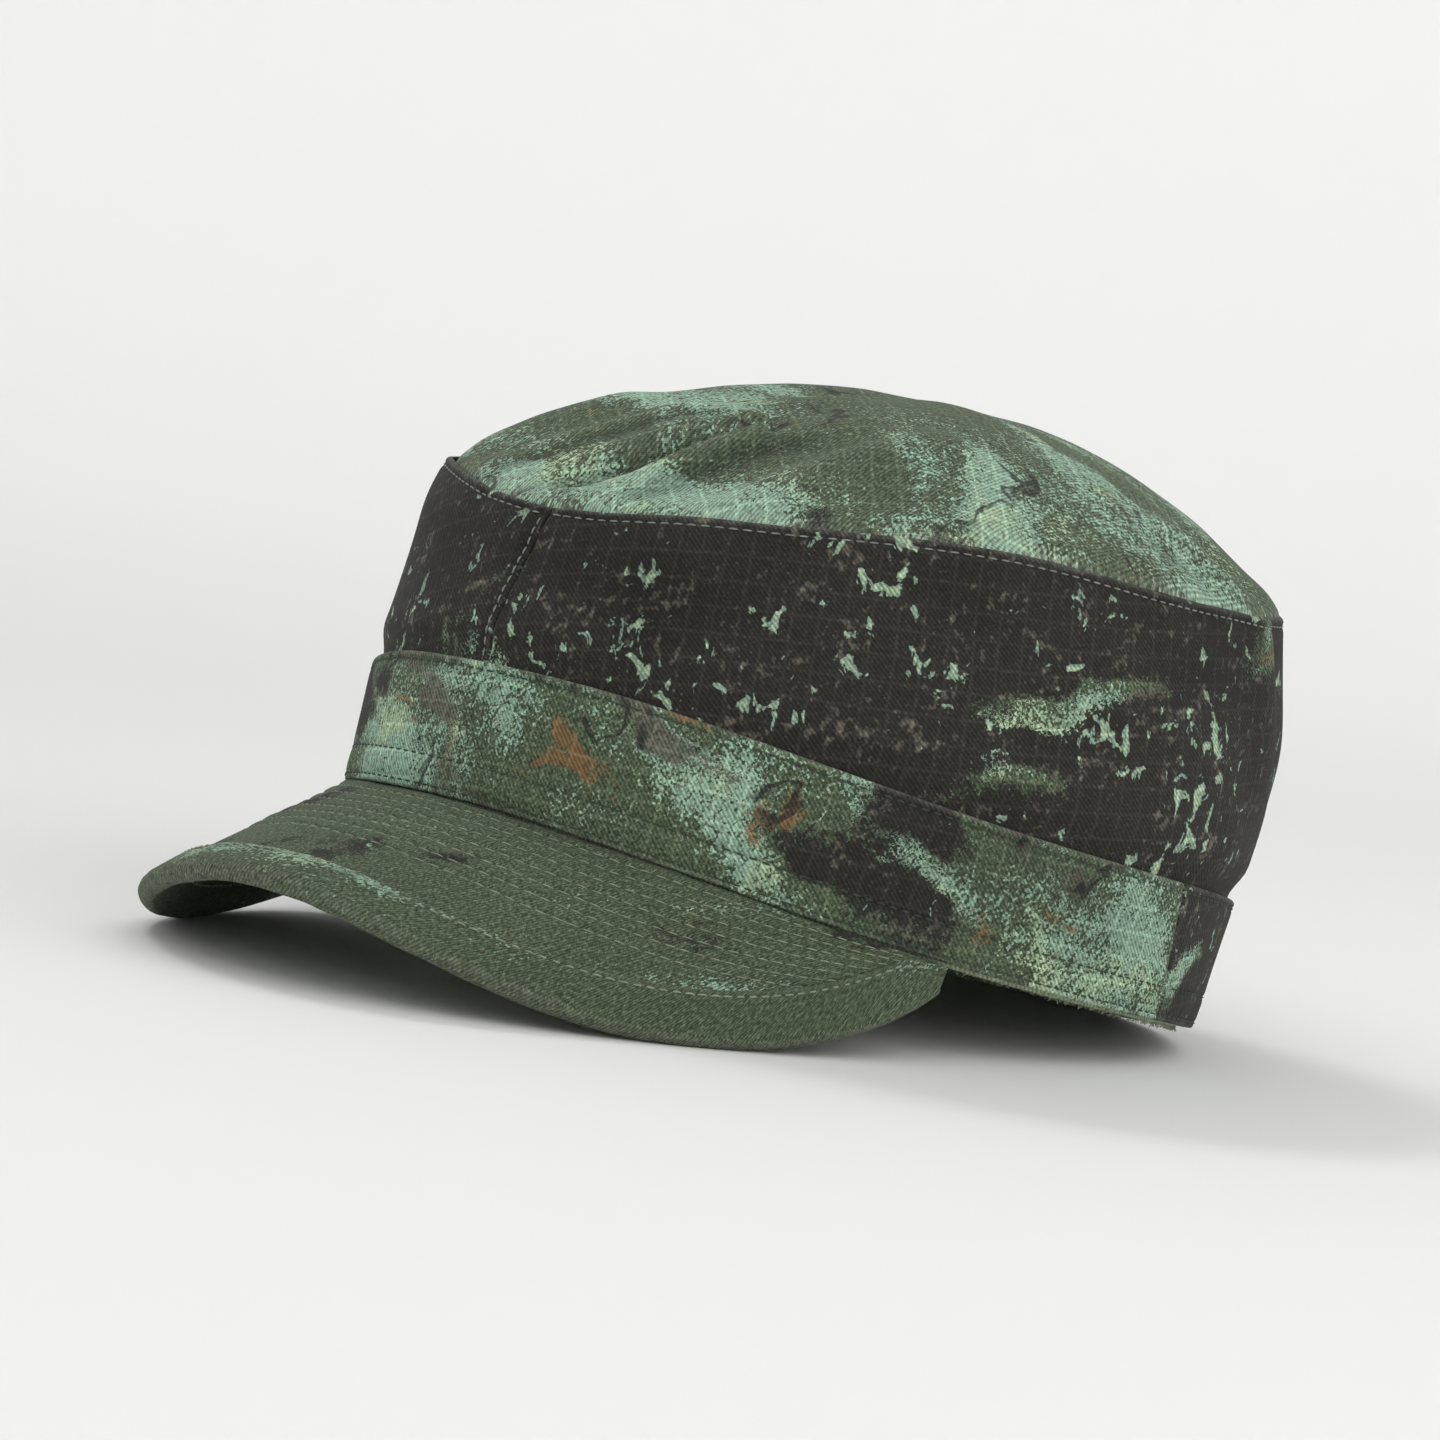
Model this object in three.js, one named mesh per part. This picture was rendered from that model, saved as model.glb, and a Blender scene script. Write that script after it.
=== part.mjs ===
// A field cap for hunting: an oval domed crown on two side panels, an outer band in two lengths,
// an inner sweatband, and a stitched visor whose edge is bound with a folded strip of cloth.
// Lengths are millimetres and angles degrees. The cap's own frame has its rim near z = 0, the visor
// towards -Y and the wearer's left at +X. The last lines tilt it on to the visor's two lowest points
// and the rear of the rim, as it rests on a table, with the origin on the table under its middle.
import * as THREE from "three";
import { mergeVertices } from "three/addons/utils/BufferGeometryUtils.js";

// Driving sizes

const GAP = 0.3; // clearance between one cloth piece and the next
const AROUND = 96; // facets round the whole crown
const DEG = Math.PI / 180;

const CROWN = {
  halfLength: 103,
  halfWidth: 83.4,
  frontNarrowing: 0.09, // share by which the plan is narrower in front than at mid length
  sideBulge: 3,
  topHalfLength: 96.8,
  topHalfWidth: 83.2,
  topNarrowing: 0.03,
  topSetBack: 2.9,
  seamHeight: 82.2,
  seamRise: 15.6, // the seam is this much lower in front and higher at the back
  seamCrest: 3, // extra rise that the three-fold wave gives the back
  domeRise: 32,
  domeSetBack: 9.8,
  domeFullness: 2.3,
};
const RIM = { lengthwise: 0.3, crosswise: 2, threefold: 1, lift: 2.8, liftAngle: -44, liftWidth: 24 };
const CLOTH = { panel: 1.2, band: 1.7, sweatband: 1.2, visor: 1.1, binding: 1 }; // thickness of each
const PUFF = 8; // height over which a side panel swells out to the band's face, above the band
const FRONT_SEAM = -2; // angle of the seam in front where the two side panels meet
const BAND = { height: 28.2, frontDip: 1, dipWidth: 22, jointAtRim: 107, jointAtTop: 101.5 };
const SWEATBAND = { height: 29, drop: 1 };
const VISOR = {
  halfSpread: 70.5, // angle round the crown from the middle of the front to a visor corner
  fan: 0.28, // how far the visor's ribs turn outward, as a share of the angle at their root
  middleSlope: 23.6,
  sideSlope: 64,
  cornerSlope: -38,
  length: 56,
  clothShare: 0.985, // share of the half spread that the visor's pieces fill, short of the pointed corner
  rounding: 0.62,
  bow: 0.9, // rise of the middle of a rib above the line between its ends
  rootDrop: 0.4,
  bindingWidth: 9,
};

// Where the visor's outer edge sags below its ribs
const VISOR_DROOPS = [
  { angle: -14, width: 12, drop: 2 },
  { angle: -30, width: 12, drop: 2.2 },
  { angle: -56, width: 9, drop: -1.2 },
  { angle: 12, width: 9, drop: -0.8 },
  { angle: 40, width: 10, drop: 0.5 },
];

const PRESSED = 0.5; // height by which the cap's lowest cloth is pressed flat on the table

// Lifts and dips of the top seam, by the angle round the crown from the middle of the front
const SEAM_WAVES = [
  { angle: -34, width: 16, lift: 1.2 },
  { angle: 20, width: 14, lift: 1 },
  { angle: 82, width: 18, lift: -1.5 },
];

// Folds that run down the side panels. level is the share of the panel's height where each is deepest
const SIDE_FOLDS = [
  { angle: 107, slant: 14, width: 6, level: 0.84, spread: 0.24, height: 2.4 },
  { angle: 120, slant: 12, width: 7, level: 0.86, spread: 0.26, height: -3.2 },
  { angle: 137, slant: 6, width: 10, level: 0.7, spread: 0.24, height: 2.4 },
  { angle: 160, slant: 0, width: 12, level: 0.7, spread: 0.3, height: -1.6 },
  { angle: 142, slant: 0, width: 34, level: 0.62, spread: 0.22, height: 3.2 },
  { angle: 60, slant: 10, width: 16, level: 0.62, spread: 0.3, height: -1 },
  { angle: -58, slant: -8, width: 16, level: 0.6, spread: 0.3, height: -1.2 },
  { angle: -36, slant: 0, width: 14, level: 0.88, spread: 0.14, height: 1.6 },
  { angle: -118, slant: -10, width: 9, level: 0.8, spread: 0.26, height: 2.2 },
  { angle: -135, slant: -8, width: 10, level: 0.8, spread: 0.26, height: -2 },
];

// Ridges and hollows of the domed top, each along a line seen from above
const TOP_FOLDS = [
  { x0: -30, y0: -86, x1: -8, y1: -56, width: 5, height: 2 },
  { x0: -8, y0: -57, x1: 3, y1: -26, width: 7, height: 1.6 },
  { x0: -8, y0: -82, x1: 3, y1: -56, width: 7, height: -3 },
  { x0: 7, y0: -90, x1: 14, y1: -60, width: 5, height: 2.2 },
  { x0: 21, y0: -84, x1: 26, y1: -52, width: 7, height: -1.8 },
  { x0: 33, y0: -80, x1: 39, y1: -34, width: 6, height: 1.6 },
  { x0: -46, y0: -66, x1: -34, y1: -50, width: 9, height: 2.8 },
  { x0: -54, y0: -60, x1: -60, y1: -40, width: 13, height: 1.8 },
  { x0: 66, y0: 16, x1: 80, y1: 28, width: 5, height: 2.2 },
  { x0: 58, y0: 34, x1: 74, y1: 46, width: 8, height: -2.4 },
  { x0: 10, y0: 70, x1: 18, y1: 92, width: 9, height: -1.8 },
  { x0: -62, y0: 30, x1: -76, y1: 44, width: 8, height: -2 },
];

// Shapes of the crown

const bell = (distance, width) => Math.exp(-((distance / width) ** 2));

// Signed difference of two angles in degrees, from -180 to 180
const turn = (angle, from) => ((((angle - from + 180) % 360) + 360) % 360) - 180;

const oval = (angle, halfLength, halfWidth, narrowing, setBack) => ({
  x: halfWidth * Math.sin(angle * DEG) * (1 - narrowing * Math.cos(angle * DEG)),
  y: setBack - halfLength * Math.cos(angle * DEG),
});

const rimLift = (angle) => RIM.lift * bell(turn(angle, RIM.liftAngle), RIM.liftWidth);

const rimHeight = (angle) =>
  RIM.lengthwise * Math.cos(angle * DEG) +
  RIM.crosswise * Math.cos(2 * angle * DEG) +
  RIM.threefold * Math.cos(3 * angle * DEG) +
  rimLift(angle);

function seamHeight(angle) {
  let z = CROWN.seamHeight;
  z -= CROWN.seamRise * Math.cos(angle * DEG) + CROWN.seamCrest * Math.cos(3 * angle * DEG);
  for (const wave of SEAM_WAVES) z += wave.lift * bell(turn(angle, wave.angle), wave.width);
  return z;
}

// The band's upper edge is level where its lower edge is lifted
const bandHeight = (angle) =>
  BAND.height - BAND.frontDip * bell(turn(angle, 0), BAND.dipWidth) - rimLift(angle);

// How far the side panel's folds push it outward at an angle and a level, 0 at the rim and 1 at the seam
function foldPush(angle, level) {
  let push = 0;
  for (const fold of SIDE_FOLDS) {
    const crest = fold.angle + fold.slant * (1 - level) * 2;
    push += fold.height * bell(turn(angle, crest), fold.width) * bell(level - fold.level, fold.spread);
  }
  return push;
}

// The band's outer face carried up to the top seam: every layer of the crown is an offset of this
function crownPoint(angle, level) {
  const foot = oval(angle, CROWN.halfLength, CROWN.halfWidth, CROWN.frontNarrowing, 0);
  const head = oval(angle, CROWN.topHalfLength, CROWN.topHalfWidth, CROWN.topNarrowing, CROWN.topSetBack);
  const x = THREE.MathUtils.lerp(foot.x, head.x, level);
  const y = THREE.MathUtils.lerp(foot.y, head.y, level);
  const push = CROWN.sideBulge * Math.sin(Math.PI * level) + foldPush(angle, level);
  const reach = 1 + push / Math.hypot(x, y);
  const z = THREE.MathUtils.lerp(rimHeight(angle), seamHeight(angle), level);
  return new THREE.Vector3(x * reach, y * reach, z);
}

// Outward normal of a surface given as a function of two parameters, by central differences
function normalOf(surface, u, v, du, dv) {
  const along = surface(u + du, v).sub(surface(u - du, v));
  const up = surface(u, v + dv).sub(surface(u, v - dv));
  return along.cross(up).normalize();
}

// A point set in from the crown's outer face by depth, measured square to it
function layerPoint(angle, level, depth) {
  const outward = normalOf(crownPoint, angle, level, 0.5, 0.01);
  return crownPoint(angle, level).addScaledVector(outward, -depth);
}

const levelAt = (angle, height) => (height - rimHeight(angle)) / (seamHeight(angle) - rimHeight(angle));

// Closed walls

// A geometry from a list of points and a list of point triples
function solidFrom(points, triangles) {
  const geometry = new THREE.BufferGeometry().setFromPoints(points);
  geometry.setIndex(triangles.flat());
  return mergeVertices(geometry, 1e-4);
}

const quad = (a, b, c, d) => [
  [a, b, c],
  [a, c, d],
];

// A wall between an outside and an inside sheet, each a function of column and row. A ring's last
// column is its first; any other wall has an end face at each side
function wall(outside, inside, columns, rows, ring = false) {
  const points = [];
  const triangles = [];
  const stations = ring ? columns : columns + 1;
  const at = (side, column, row) => (side * stations + (column % stations)) * (rows + 1) + row;
  for (const sheet of [outside, inside]) {
    for (let column = 0; column < stations; column++) {
      for (let row = 0; row <= rows; row++) points.push(sheet(column, row));
    }
  }
  for (let column = 0; column < columns; column++) {
    const next = column + 1;
    for (let row = 0; row < rows; row++) {
      const up = row + 1;
      triangles.push(...quad(at(0, column, row), at(0, next, row), at(0, next, up), at(0, column, up)));
      triangles.push(...quad(at(1, column, row), at(1, column, up), at(1, next, up), at(1, next, row)));
    }
    triangles.push(...quad(at(1, column, 0), at(1, next, 0), at(0, next, 0), at(0, column, 0)));
    triangles.push(...quad(at(0, column, rows), at(0, next, rows), at(1, next, rows), at(1, column, rows)));
  }
  for (let row = 0; row < rows && !ring; row++) {
    triangles.push(...quad(at(1, 0, row), at(0, 0, row), at(0, 0, row + 1), at(1, 0, row + 1)));
    triangles.push(
      ...quad(at(0, columns, row), at(1, columns, row), at(1, columns, row + 1), at(0, columns, row + 1)),
    );
  }
  return solidFrom(points, triangles);
}

// A domed disc: rings of points round a middle point, above and below
function dome(above, below, columns, rings) {
  const points = [above(0, 0), below(0, 0)];
  const triangles = [];
  const at = (side, column, ring) =>
    ring === 0 ? side : 2 + (side * columns + (column % columns)) * rings + ring - 1;
  for (const sheet of [above, below]) {
    for (let column = 0; column < columns; column++) {
      for (let ring = 1; ring <= rings; ring++) points.push(sheet(column, ring));
    }
  }
  for (let column = 0; column < columns; column++) {
    const next = column + 1;
    triangles.push([at(0, 0, 0), at(0, column, 1), at(0, next, 1)]);
    triangles.push([at(1, 0, 0), at(1, next, 1), at(1, column, 1)]);
    for (let ring = 1; ring < rings; ring++) {
      const out = ring + 1;
      triangles.push(...quad(at(0, column, ring), at(0, column, out), at(0, next, out), at(0, next, ring)));
      triangles.push(...quad(at(1, column, ring), at(1, next, ring), at(1, next, out), at(1, column, out)));
    }
    const upper = [at(0, column, rings), at(0, next, rings)];
    const lower = [at(1, column, rings), at(1, next, rings)];
    triangles.push(...quad(upper[0], lower[0], lower[1], upper[1]));
  }
  return solidFrom(points, triangles);
}

// Materials

const cloth = (color, roughness) =>
  new THREE.MeshStandardMaterial({ color, roughness, metalness: 0 });
const MATERIALS = {
  top: cloth(0x5c7560, 0.9),
  side: cloth(0x332f2e, 0.92),
  band: cloth(0x57705a, 0.9),
  visor: cloth(0x45573f, 0.88),
  binding: cloth(0x4d634a, 0.88),
  sweatband: cloth(0x6f8268, 0.92),
};

const cap = new THREE.Group();

function addPiece(name, geometry, material) {
  const piece = new THREE.Mesh(geometry, material);
  piece.name = name;
  cap.add(piece);
}

// Crown

const STEP = 360 / AROUND;
const SEAM_GAP_ANGLE = GAP / (CROWN.topHalfWidth * DEG);
const PANEL_DEPTH = CLOTH.band + GAP; // the side panels lie inside the band
const PANEL_CLEAR = 0.6; // height above the band at which a side panel starts to swell
const SWEATBAND_DEPTH = PANEL_DEPTH + CLOTH.panel + GAP;

// Depth of a side panel's outer face at a height above the rim: inside the band, and flush with it above
const panelDepth = (angle, height) =>
  PANEL_DEPTH * (1 - THREE.MathUtils.smoothstep(height - bandHeight(angle), PANEL_CLEAR, PUFF));

// A side panel runs from the middle of the front to the middle of the back on one side
function sidePanel(fromAngle) {
  const rows = 8;
  const columns = AROUND / 2;
  const trim = SEAM_GAP_ANGLE / 2;
  const angleAt = (column) => fromAngle + THREE.MathUtils.clamp(column * STEP, trim, 180 - trim);
  // Two rows lie behind the band, two in the swell above it, and the rest share the way to the seam
  const heightAt = (angle, row) => {
    const band = bandHeight(angle);
    const full = seamHeight(angle) - rimHeight(angle);
    if (row <= 2) return (row / 2) * (band + PANEL_CLEAR);
    if (row === 3) return band + PUFF / 2;
    return THREE.MathUtils.lerp(band + PUFF, full, (row - 4) / (rows - 4));
  };
  const sheet = (inset) => (column, row) => {
    const angle = angleAt(column);
    const height = heightAt(angle, row);
    return layerPoint(angle, levelAt(angle, rimHeight(angle) + height), panelDepth(angle, height) + inset);
  };
  return wall(sheet(0), sheet(CLOTH.panel), columns, rows);
}

// Height that the ridges and hollows add to the domed top at a point of its plan
function topFold(x, y) {
  let height = 0;
  for (const fold of TOP_FOLDS) {
    const dx = fold.x1 - fold.x0;
    const dy = fold.y1 - fold.y0;
    const along = ((x - fold.x0) * dx + (y - fold.y0) * dy) / (dx * dx + dy * dy);
    const share = THREE.MathUtils.clamp(along, 0, 1);
    height += fold.height * bell(Math.hypot(x - fold.x0 - share * dx, y - fold.y0 - share * dy), fold.width);
  }
  return height;
}

// The domed top: share 0 is its middle and share 1 its edge, inside the side panels' upper edge
function topPoint(angle, share) {
  const edge = layerPoint(angle, 1, CLOTH.panel + GAP);
  const middle = new THREE.Vector3(0, CROWN.topSetBack + CROWN.domeSetBack, CROWN.seamHeight);
  const point = middle.lerp(edge, share);
  const fade = 1 - share ** 10;
  point.z += CROWN.domeRise * (1 - share ** CROWN.domeFullness) + topFold(point.x, point.y) * fade;
  return point;
}

function topPanel() {
  const rings = 8;
  const shareAt = (ring) => 1 - (1 - ring / rings) ** 1.4;
  const above = (column, ring) => topPoint(column * STEP, shareAt(ring));
  const below = (column, ring) => {
    const point = above(column, ring);
    point.z -= CLOTH.panel;
    return point;
  };
  return dome(above, below, AROUND, rings);
}

// A length of the outer band from one slanted joint to the other, each an angle at the rim and at the top
function bandLength(from, to) {
  const rows = 3;
  const columns = Math.round((to.rim - from.rim) / STEP);
  const sheet = (depth) => (column, row) => {
    const start = THREE.MathUtils.lerp(from.rim, from.top, row / rows);
    const end = THREE.MathUtils.lerp(to.rim, to.top, row / rows);
    const angle = THREE.MathUtils.lerp(start, end, column / columns);
    return layerPoint(angle, levelAt(angle, rimHeight(angle) + (bandHeight(angle) * row) / rows), depth);
  };
  return wall(sheet(0), sheet(CLOTH.band), columns, rows);
}

function sweatband() {
  const rows = 2;
  const sheet = (depth) => (column, row) => {
    const angle = column * STEP;
    const height = rimHeight(angle) - SWEATBAND.drop + (SWEATBAND.height * row) / rows;
    return layerPoint(angle, levelAt(angle, height), depth);
  };
  return wall(sheet(SWEATBAND_DEPTH), sheet(SWEATBAND_DEPTH + CLOTH.sweatband), AROUND, rows, true);
}

// Visor

const visorShare = (angle) => Math.abs(angle) / VISOR.halfSpread;
const visorLength = (angle) => VISOR.length * Math.max(1 - visorShare(angle) ** 2, 0.02) ** VISOR.rounding;

function visorDroop(angle) {
  let drop = 0;
  for (const place of VISOR_DROOPS) drop += place.drop * bell(angle - place.angle, place.width);
  return drop;
}

// The visor's upper face: bowed ribs from the band's lower edge, reach 0, to the outer edge, reach 1
function visorPoint(angle, reach) {
  const share = visorShare(angle);
  const slope = (VISOR.middleSlope + VISOR.sideSlope * share ** 2 + VISOR.cornerSlope * share ** 4) * DEG;
  const heading = VISOR.fan * angle * DEG;
  const run = reach * visorLength(angle);
  const point = crownPoint(angle, 0);
  point.x += run * Math.cos(slope) * Math.sin(heading);
  point.y -= run * Math.cos(slope) * Math.cos(heading);
  point.z += 4 * VISOR.bow * reach * (1 - reach) - run * Math.sin(slope);
  point.z -= VISOR.rootDrop + 1.2 * rimLift(angle) * reach + visorDroop(angle) * reach ** 3;
  return point;
}

const visorNormal = (angle, reach) => normalOf(visorPoint, angle, reach, 0.5, -0.01);
const visorLayer = (angle, reach, depth) =>
  visorPoint(angle, reach).addScaledVector(visorNormal(angle, reach), -depth);

const VISOR_COLUMNS = 36;
const VISOR_THICKNESS = 2 * CLOTH.visor + GAP;

// Columns are closer together towards the corners, where the edge curves most
const visorAngle = (column) =>
  VISOR.clothShare * VISOR.halfSpread * Math.sin((column / VISOR_COLUMNS - 0.5) * 180 * DEG);

function visorSheet(from, to) {
  const rows = 4;
  const sheet = (depth) => (column, row) => visorLayer(visorAngle(column), row / rows, depth);
  return wall(sheet(to), sheet(from), VISOR_COLUMNS, rows);
}

const visorRib = (angle) => visorPoint(angle, 1).sub(visorPoint(angle, 0)).normalize();
const visorEdge = (angle) => visorPoint(angle + 0.5, 1).sub(visorPoint(angle - 0.5, 1)).normalize();

// The binding folds over the visor's outer edge: a U section carried from corner to corner
function visorBinding() {
  // Where the binding's inner edge crosses a rib. The limits hold it near the corners, where ribs are short
  const innerReach = (angle) => {
    const square = Math.max(visorEdge(angle).cross(visorRib(angle)).length(), 0.25);
    return Math.max(1 - VISOR.bindingWidth / (visorLength(angle) * square), 0.12);
  };
  const section = (angle) => {
    const inner = innerReach(angle);
    const middle = (inner + 1) / 2;
    const outward = visorNormal(angle, 1).cross(visorEdge(angle)).normalize();
    if (outward.dot(visorRib(angle)) < 0) outward.negate();
    const place = (reach, depth, out) => visorLayer(angle, reach, depth).addScaledVector(outward, out);
    const under = VISOR_THICKNESS + GAP;
    const skin = CLOTH.binding;
    return [
      place(inner, -GAP - skin, 0),
      place(middle, -GAP - skin, 0),
      place(1, -GAP - skin, 0),
      place(1, -GAP, GAP + skin),
      place(1, under, GAP + skin),
      place(1, under + skin, 0),
      place(middle, under + skin, 0),
      place(inner, under + skin, 0),
      place(inner, under, 0),
      place(middle, under, 0),
      place(1, under, GAP),
      place(1, -GAP, GAP),
      place(middle, -GAP, 0),
      place(inner, -GAP, 0),
    ];
  };
  const points = [];
  const triangles = [];
  const stations = VISOR_COLUMNS;
  for (let i = 0; i <= stations; i++) points.push(...section(visorAngle(i)));
  const size = points.length / (stations + 1);
  for (let i = 0; i < stations; i++) {
    for (let j = 0; j < size; j++) {
      const k = (j + 1) % size;
      triangles.push(...quad(i * size + j, i * size + k, (i + 1) * size + k, (i + 1) * size + j));
    }
  }
  // Each end is closed strip by strip, because the section is a hollow U
  const last = stations * size;
  for (let j = 0; j < size / 2 - 1; j++) {
    const k = size - 1 - j;
    triangles.push(...quad(j, k, k - 1, j + 1));
    triangles.push(...quad(last + j, last + j + 1, last + k - 1, last + k));
  }
  return solidFrom(points, triangles);
}

addPiece("top_panel", topPanel(), MATERIALS.top);
addPiece("side_panel_left", sidePanel(FRONT_SEAM), MATERIALS.side);
addPiece("side_panel_right", sidePanel(FRONT_SEAM - 180), MATERIALS.side);
const joint = (side, turned) => ({
  rim: side * BAND.jointAtRim + turned,
  top: side * BAND.jointAtTop + turned,
});
const halfJoint = SEAM_GAP_ANGLE / 2;
addPiece("band_front", bandLength(joint(-1, halfJoint), joint(1, -halfJoint)), MATERIALS.band);
addPiece("band_back", bandLength(joint(1, halfJoint), joint(-1, 360 - halfJoint)), MATERIALS.band);
addPiece("sweatband", sweatband(), MATERIALS.sweatband);
addPiece("visor_top", visorSheet(0, CLOTH.visor), MATERIALS.visor);
addPiece("visor_under", visorSheet(CLOTH.visor + GAP, VISOR_THICKNESS), MATERIALS.visor);
addPiece("visor_binding", visorBinding(), MATERIALS.binding);

// At rest on the table, with the origin under the middle of its outline

const vertices = (piece) => piece.geometry.getAttribute("position");

// Height of a piece's vertex above the cap's origin once the cap is pitched nose-up
const pitchedHeight = (place, i, pitch) => place.getZ(i) * Math.cos(pitch) - place.getY(i) * Math.sin(pitch);

function lowest(pieces, pitch) {
  let low = Infinity;
  for (const place of pieces.map(vertices)) {
    for (let i = 0; i < place.count; i++) low = Math.min(low, pitchedHeight(place, i, pitch));
  }
  return low;
}

// The pitch at which the visor and the rear of the rim touch the table together, found by halving
function restingPitch() {
  const visor = cap.children.filter((piece) => piece.name.startsWith("visor"));
  const crown = cap.children.filter((piece) => !piece.name.startsWith("visor"));
  let less = 0;
  let more = 30 * DEG;
  for (let i = 0; i < 40; i++) {
    const pitch = (less + more) / 2;
    if (lowest(visor, pitch) < lowest(crown, pitch)) less = pitch;
    else more = pitch;
  }
  return less;
}

// The cloth is pressed flat where it rests
const pitch = restingPitch();
const table = lowest(cap.children, pitch) + PRESSED;
for (const place of cap.children.map(vertices)) {
  for (let i = 0; i < place.count; i++) {
    const rise = Math.max(0, table - pitchedHeight(place, i, pitch));
    place.setY(i, place.getY(i) - rise * Math.sin(pitch));
    place.setZ(i, place.getZ(i) + rise * Math.cos(pitch));
  }
}

cap.rotation.x = -pitch;
const part = new THREE.Group();
part.add(cap);
part.updateMatrixWorld(true);
const outline = new THREE.Box3().setFromObject(part, true);
const middle = outline.getCenter(new THREE.Vector3());
cap.position.set(-middle.x, -middle.y, -outline.min.z);

export default part;
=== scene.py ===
"""A field cap for hunting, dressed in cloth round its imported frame.

Each piece of cloth is a fine closed wall laid over the solid that it stands for: the domed top, the two
side panels, the two lengths of the band, the sweatband, the two cloths of the visor and its bias binding.
Thread is modelled stitch by stitch, and the sweatband's raw edge is frayed. The cloth is a printed cotton:
a ripstop weave and a woodland camouflage, made by shader groups. Lengths are millimetres and angles degrees
in the cap's own frame, whose rim lies near z = 0 with the visor towards -Y. at_rest() tilts points on to
the table, in metres.
"""

import math

import bpy
import numpy as np
from mathutils import Matrix, Vector


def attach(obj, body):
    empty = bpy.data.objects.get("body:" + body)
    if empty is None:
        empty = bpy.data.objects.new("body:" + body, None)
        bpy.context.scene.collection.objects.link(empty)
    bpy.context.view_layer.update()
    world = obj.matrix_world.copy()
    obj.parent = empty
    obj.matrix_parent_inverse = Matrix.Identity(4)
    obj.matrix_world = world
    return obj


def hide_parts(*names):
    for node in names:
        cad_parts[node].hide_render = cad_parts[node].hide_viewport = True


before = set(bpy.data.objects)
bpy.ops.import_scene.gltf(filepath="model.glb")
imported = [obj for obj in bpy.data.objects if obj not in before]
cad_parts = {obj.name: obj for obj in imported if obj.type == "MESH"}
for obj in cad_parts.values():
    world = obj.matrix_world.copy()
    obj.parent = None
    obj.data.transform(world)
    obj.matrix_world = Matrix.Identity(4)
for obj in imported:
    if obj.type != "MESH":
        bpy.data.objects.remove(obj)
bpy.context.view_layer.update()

MM = 0.001
GAP = 0.3

# The cap's shape, as the solids have it
CROWN_LENGTH = 103.0  # half the length of the band's foot
CROWN_WIDTH = 83.4
FRONT_NARROWING = 0.09
SIDE_BULGE = 3.0
TOP_LENGTH = 96.8
TOP_WIDTH = 83.2
TOP_NARROWING = 0.03
TOP_SET_BACK = 2.9
SEAM_HEIGHT = 82.2
SEAM_RISE = 15.6
SEAM_CREST = 3.0
DOME_RISE = 32.0
DOME_SET_BACK = 9.8
DOME_FULLNESS = 2.3
RIM_LENGTHWISE = 0.3
RIM_CROSSWISE = 2.0
RIM_THREEFOLD = 1.0
RIM_LIFT = 2.8
RIM_LIFT_ANGLE = -44.0
RIM_LIFT_WIDTH = 24.0
PUFF = 8.0
FRONT_SEAM = -2.0
BAND_HEIGHT = 28.2
BAND_DIP = 1.0
BAND_DIP_WIDTH = 22.0
BAND_JOINT = np.array([107.0, 101.5])  # its angle at the rim and at the band's upper edge
SWEATBAND_HEIGHT = 29.0
SWEATBAND_DROP = 1.0
HALF_SPREAD = 70.5
VISOR_FAN = 0.28
MIDDLE_SLOPE = 23.6
SIDE_SLOPE = 64.0
CORNER_SLOPE = -38.0
VISOR_LENGTH = 56.0
VISOR_SHARE = 0.985
VISOR_ROUNDING = 0.62
VISOR_BOW = 0.9
ROOT_DROP = 0.4
BINDING_WIDTH = 9.0

# Thickness of each cloth
PANEL = 1.2
BAND = 1.7
SWEATBAND = 1.2
VISOR = 1.1
BINDING = 0.9
PANEL_DEPTH = BAND + GAP
PANEL_CLEAR = 0.6
SWEATBAND_DEPTH = PANEL_DEPTH + PANEL + GAP
VISOR_THICKNESS = 2 * VISOR + GAP

# How the cap lies on the table: pitched nose-up on its visor and the rear of its rim
REST_PITCH = math.radians(9.0638)
REST_SHIFT = np.array([-0.1769, 21.2745, 15.2511])
TILT = np.array(Matrix.Rotation(-REST_PITCH, 3, "X"))

# Where the visor's outer edge sags below its ribs: angle, width, drop
VISOR_DROOPS = ((-14, 12, 2.0), (-30, 12, 2.2), (-56, 9, -1.2), (12, 9, -0.8), (40, 10, 0.5))

# Lifts and dips of the top seam: angle, width, lift
SEAM_WAVES = ((-34, 16, 1.2), (20, 14, 1.0), (82, 18, -1.5))

# Folds down the side panels: angle, slant, width, level where deepest, spread, height
SIDE_FOLDS = (
    (107, 14, 6, 0.84, 0.24, 2.4),
    (120, 12, 7, 0.86, 0.26, -3.2),
    (137, 6, 10, 0.7, 0.24, 2.4),
    (160, 0, 12, 0.7, 0.3, -1.6),
    (142, 0, 34, 0.62, 0.22, 3.2),
    (60, 10, 16, 0.62, 0.3, -1.0),
    (-58, -8, 16, 0.6, 0.3, -1.2),
    (-36, 0, 14, 0.88, 0.14, 1.6),
    (-118, -10, 9, 0.8, 0.26, 2.2),
    (-135, -8, 10, 0.8, 0.26, -2.0),
)

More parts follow.
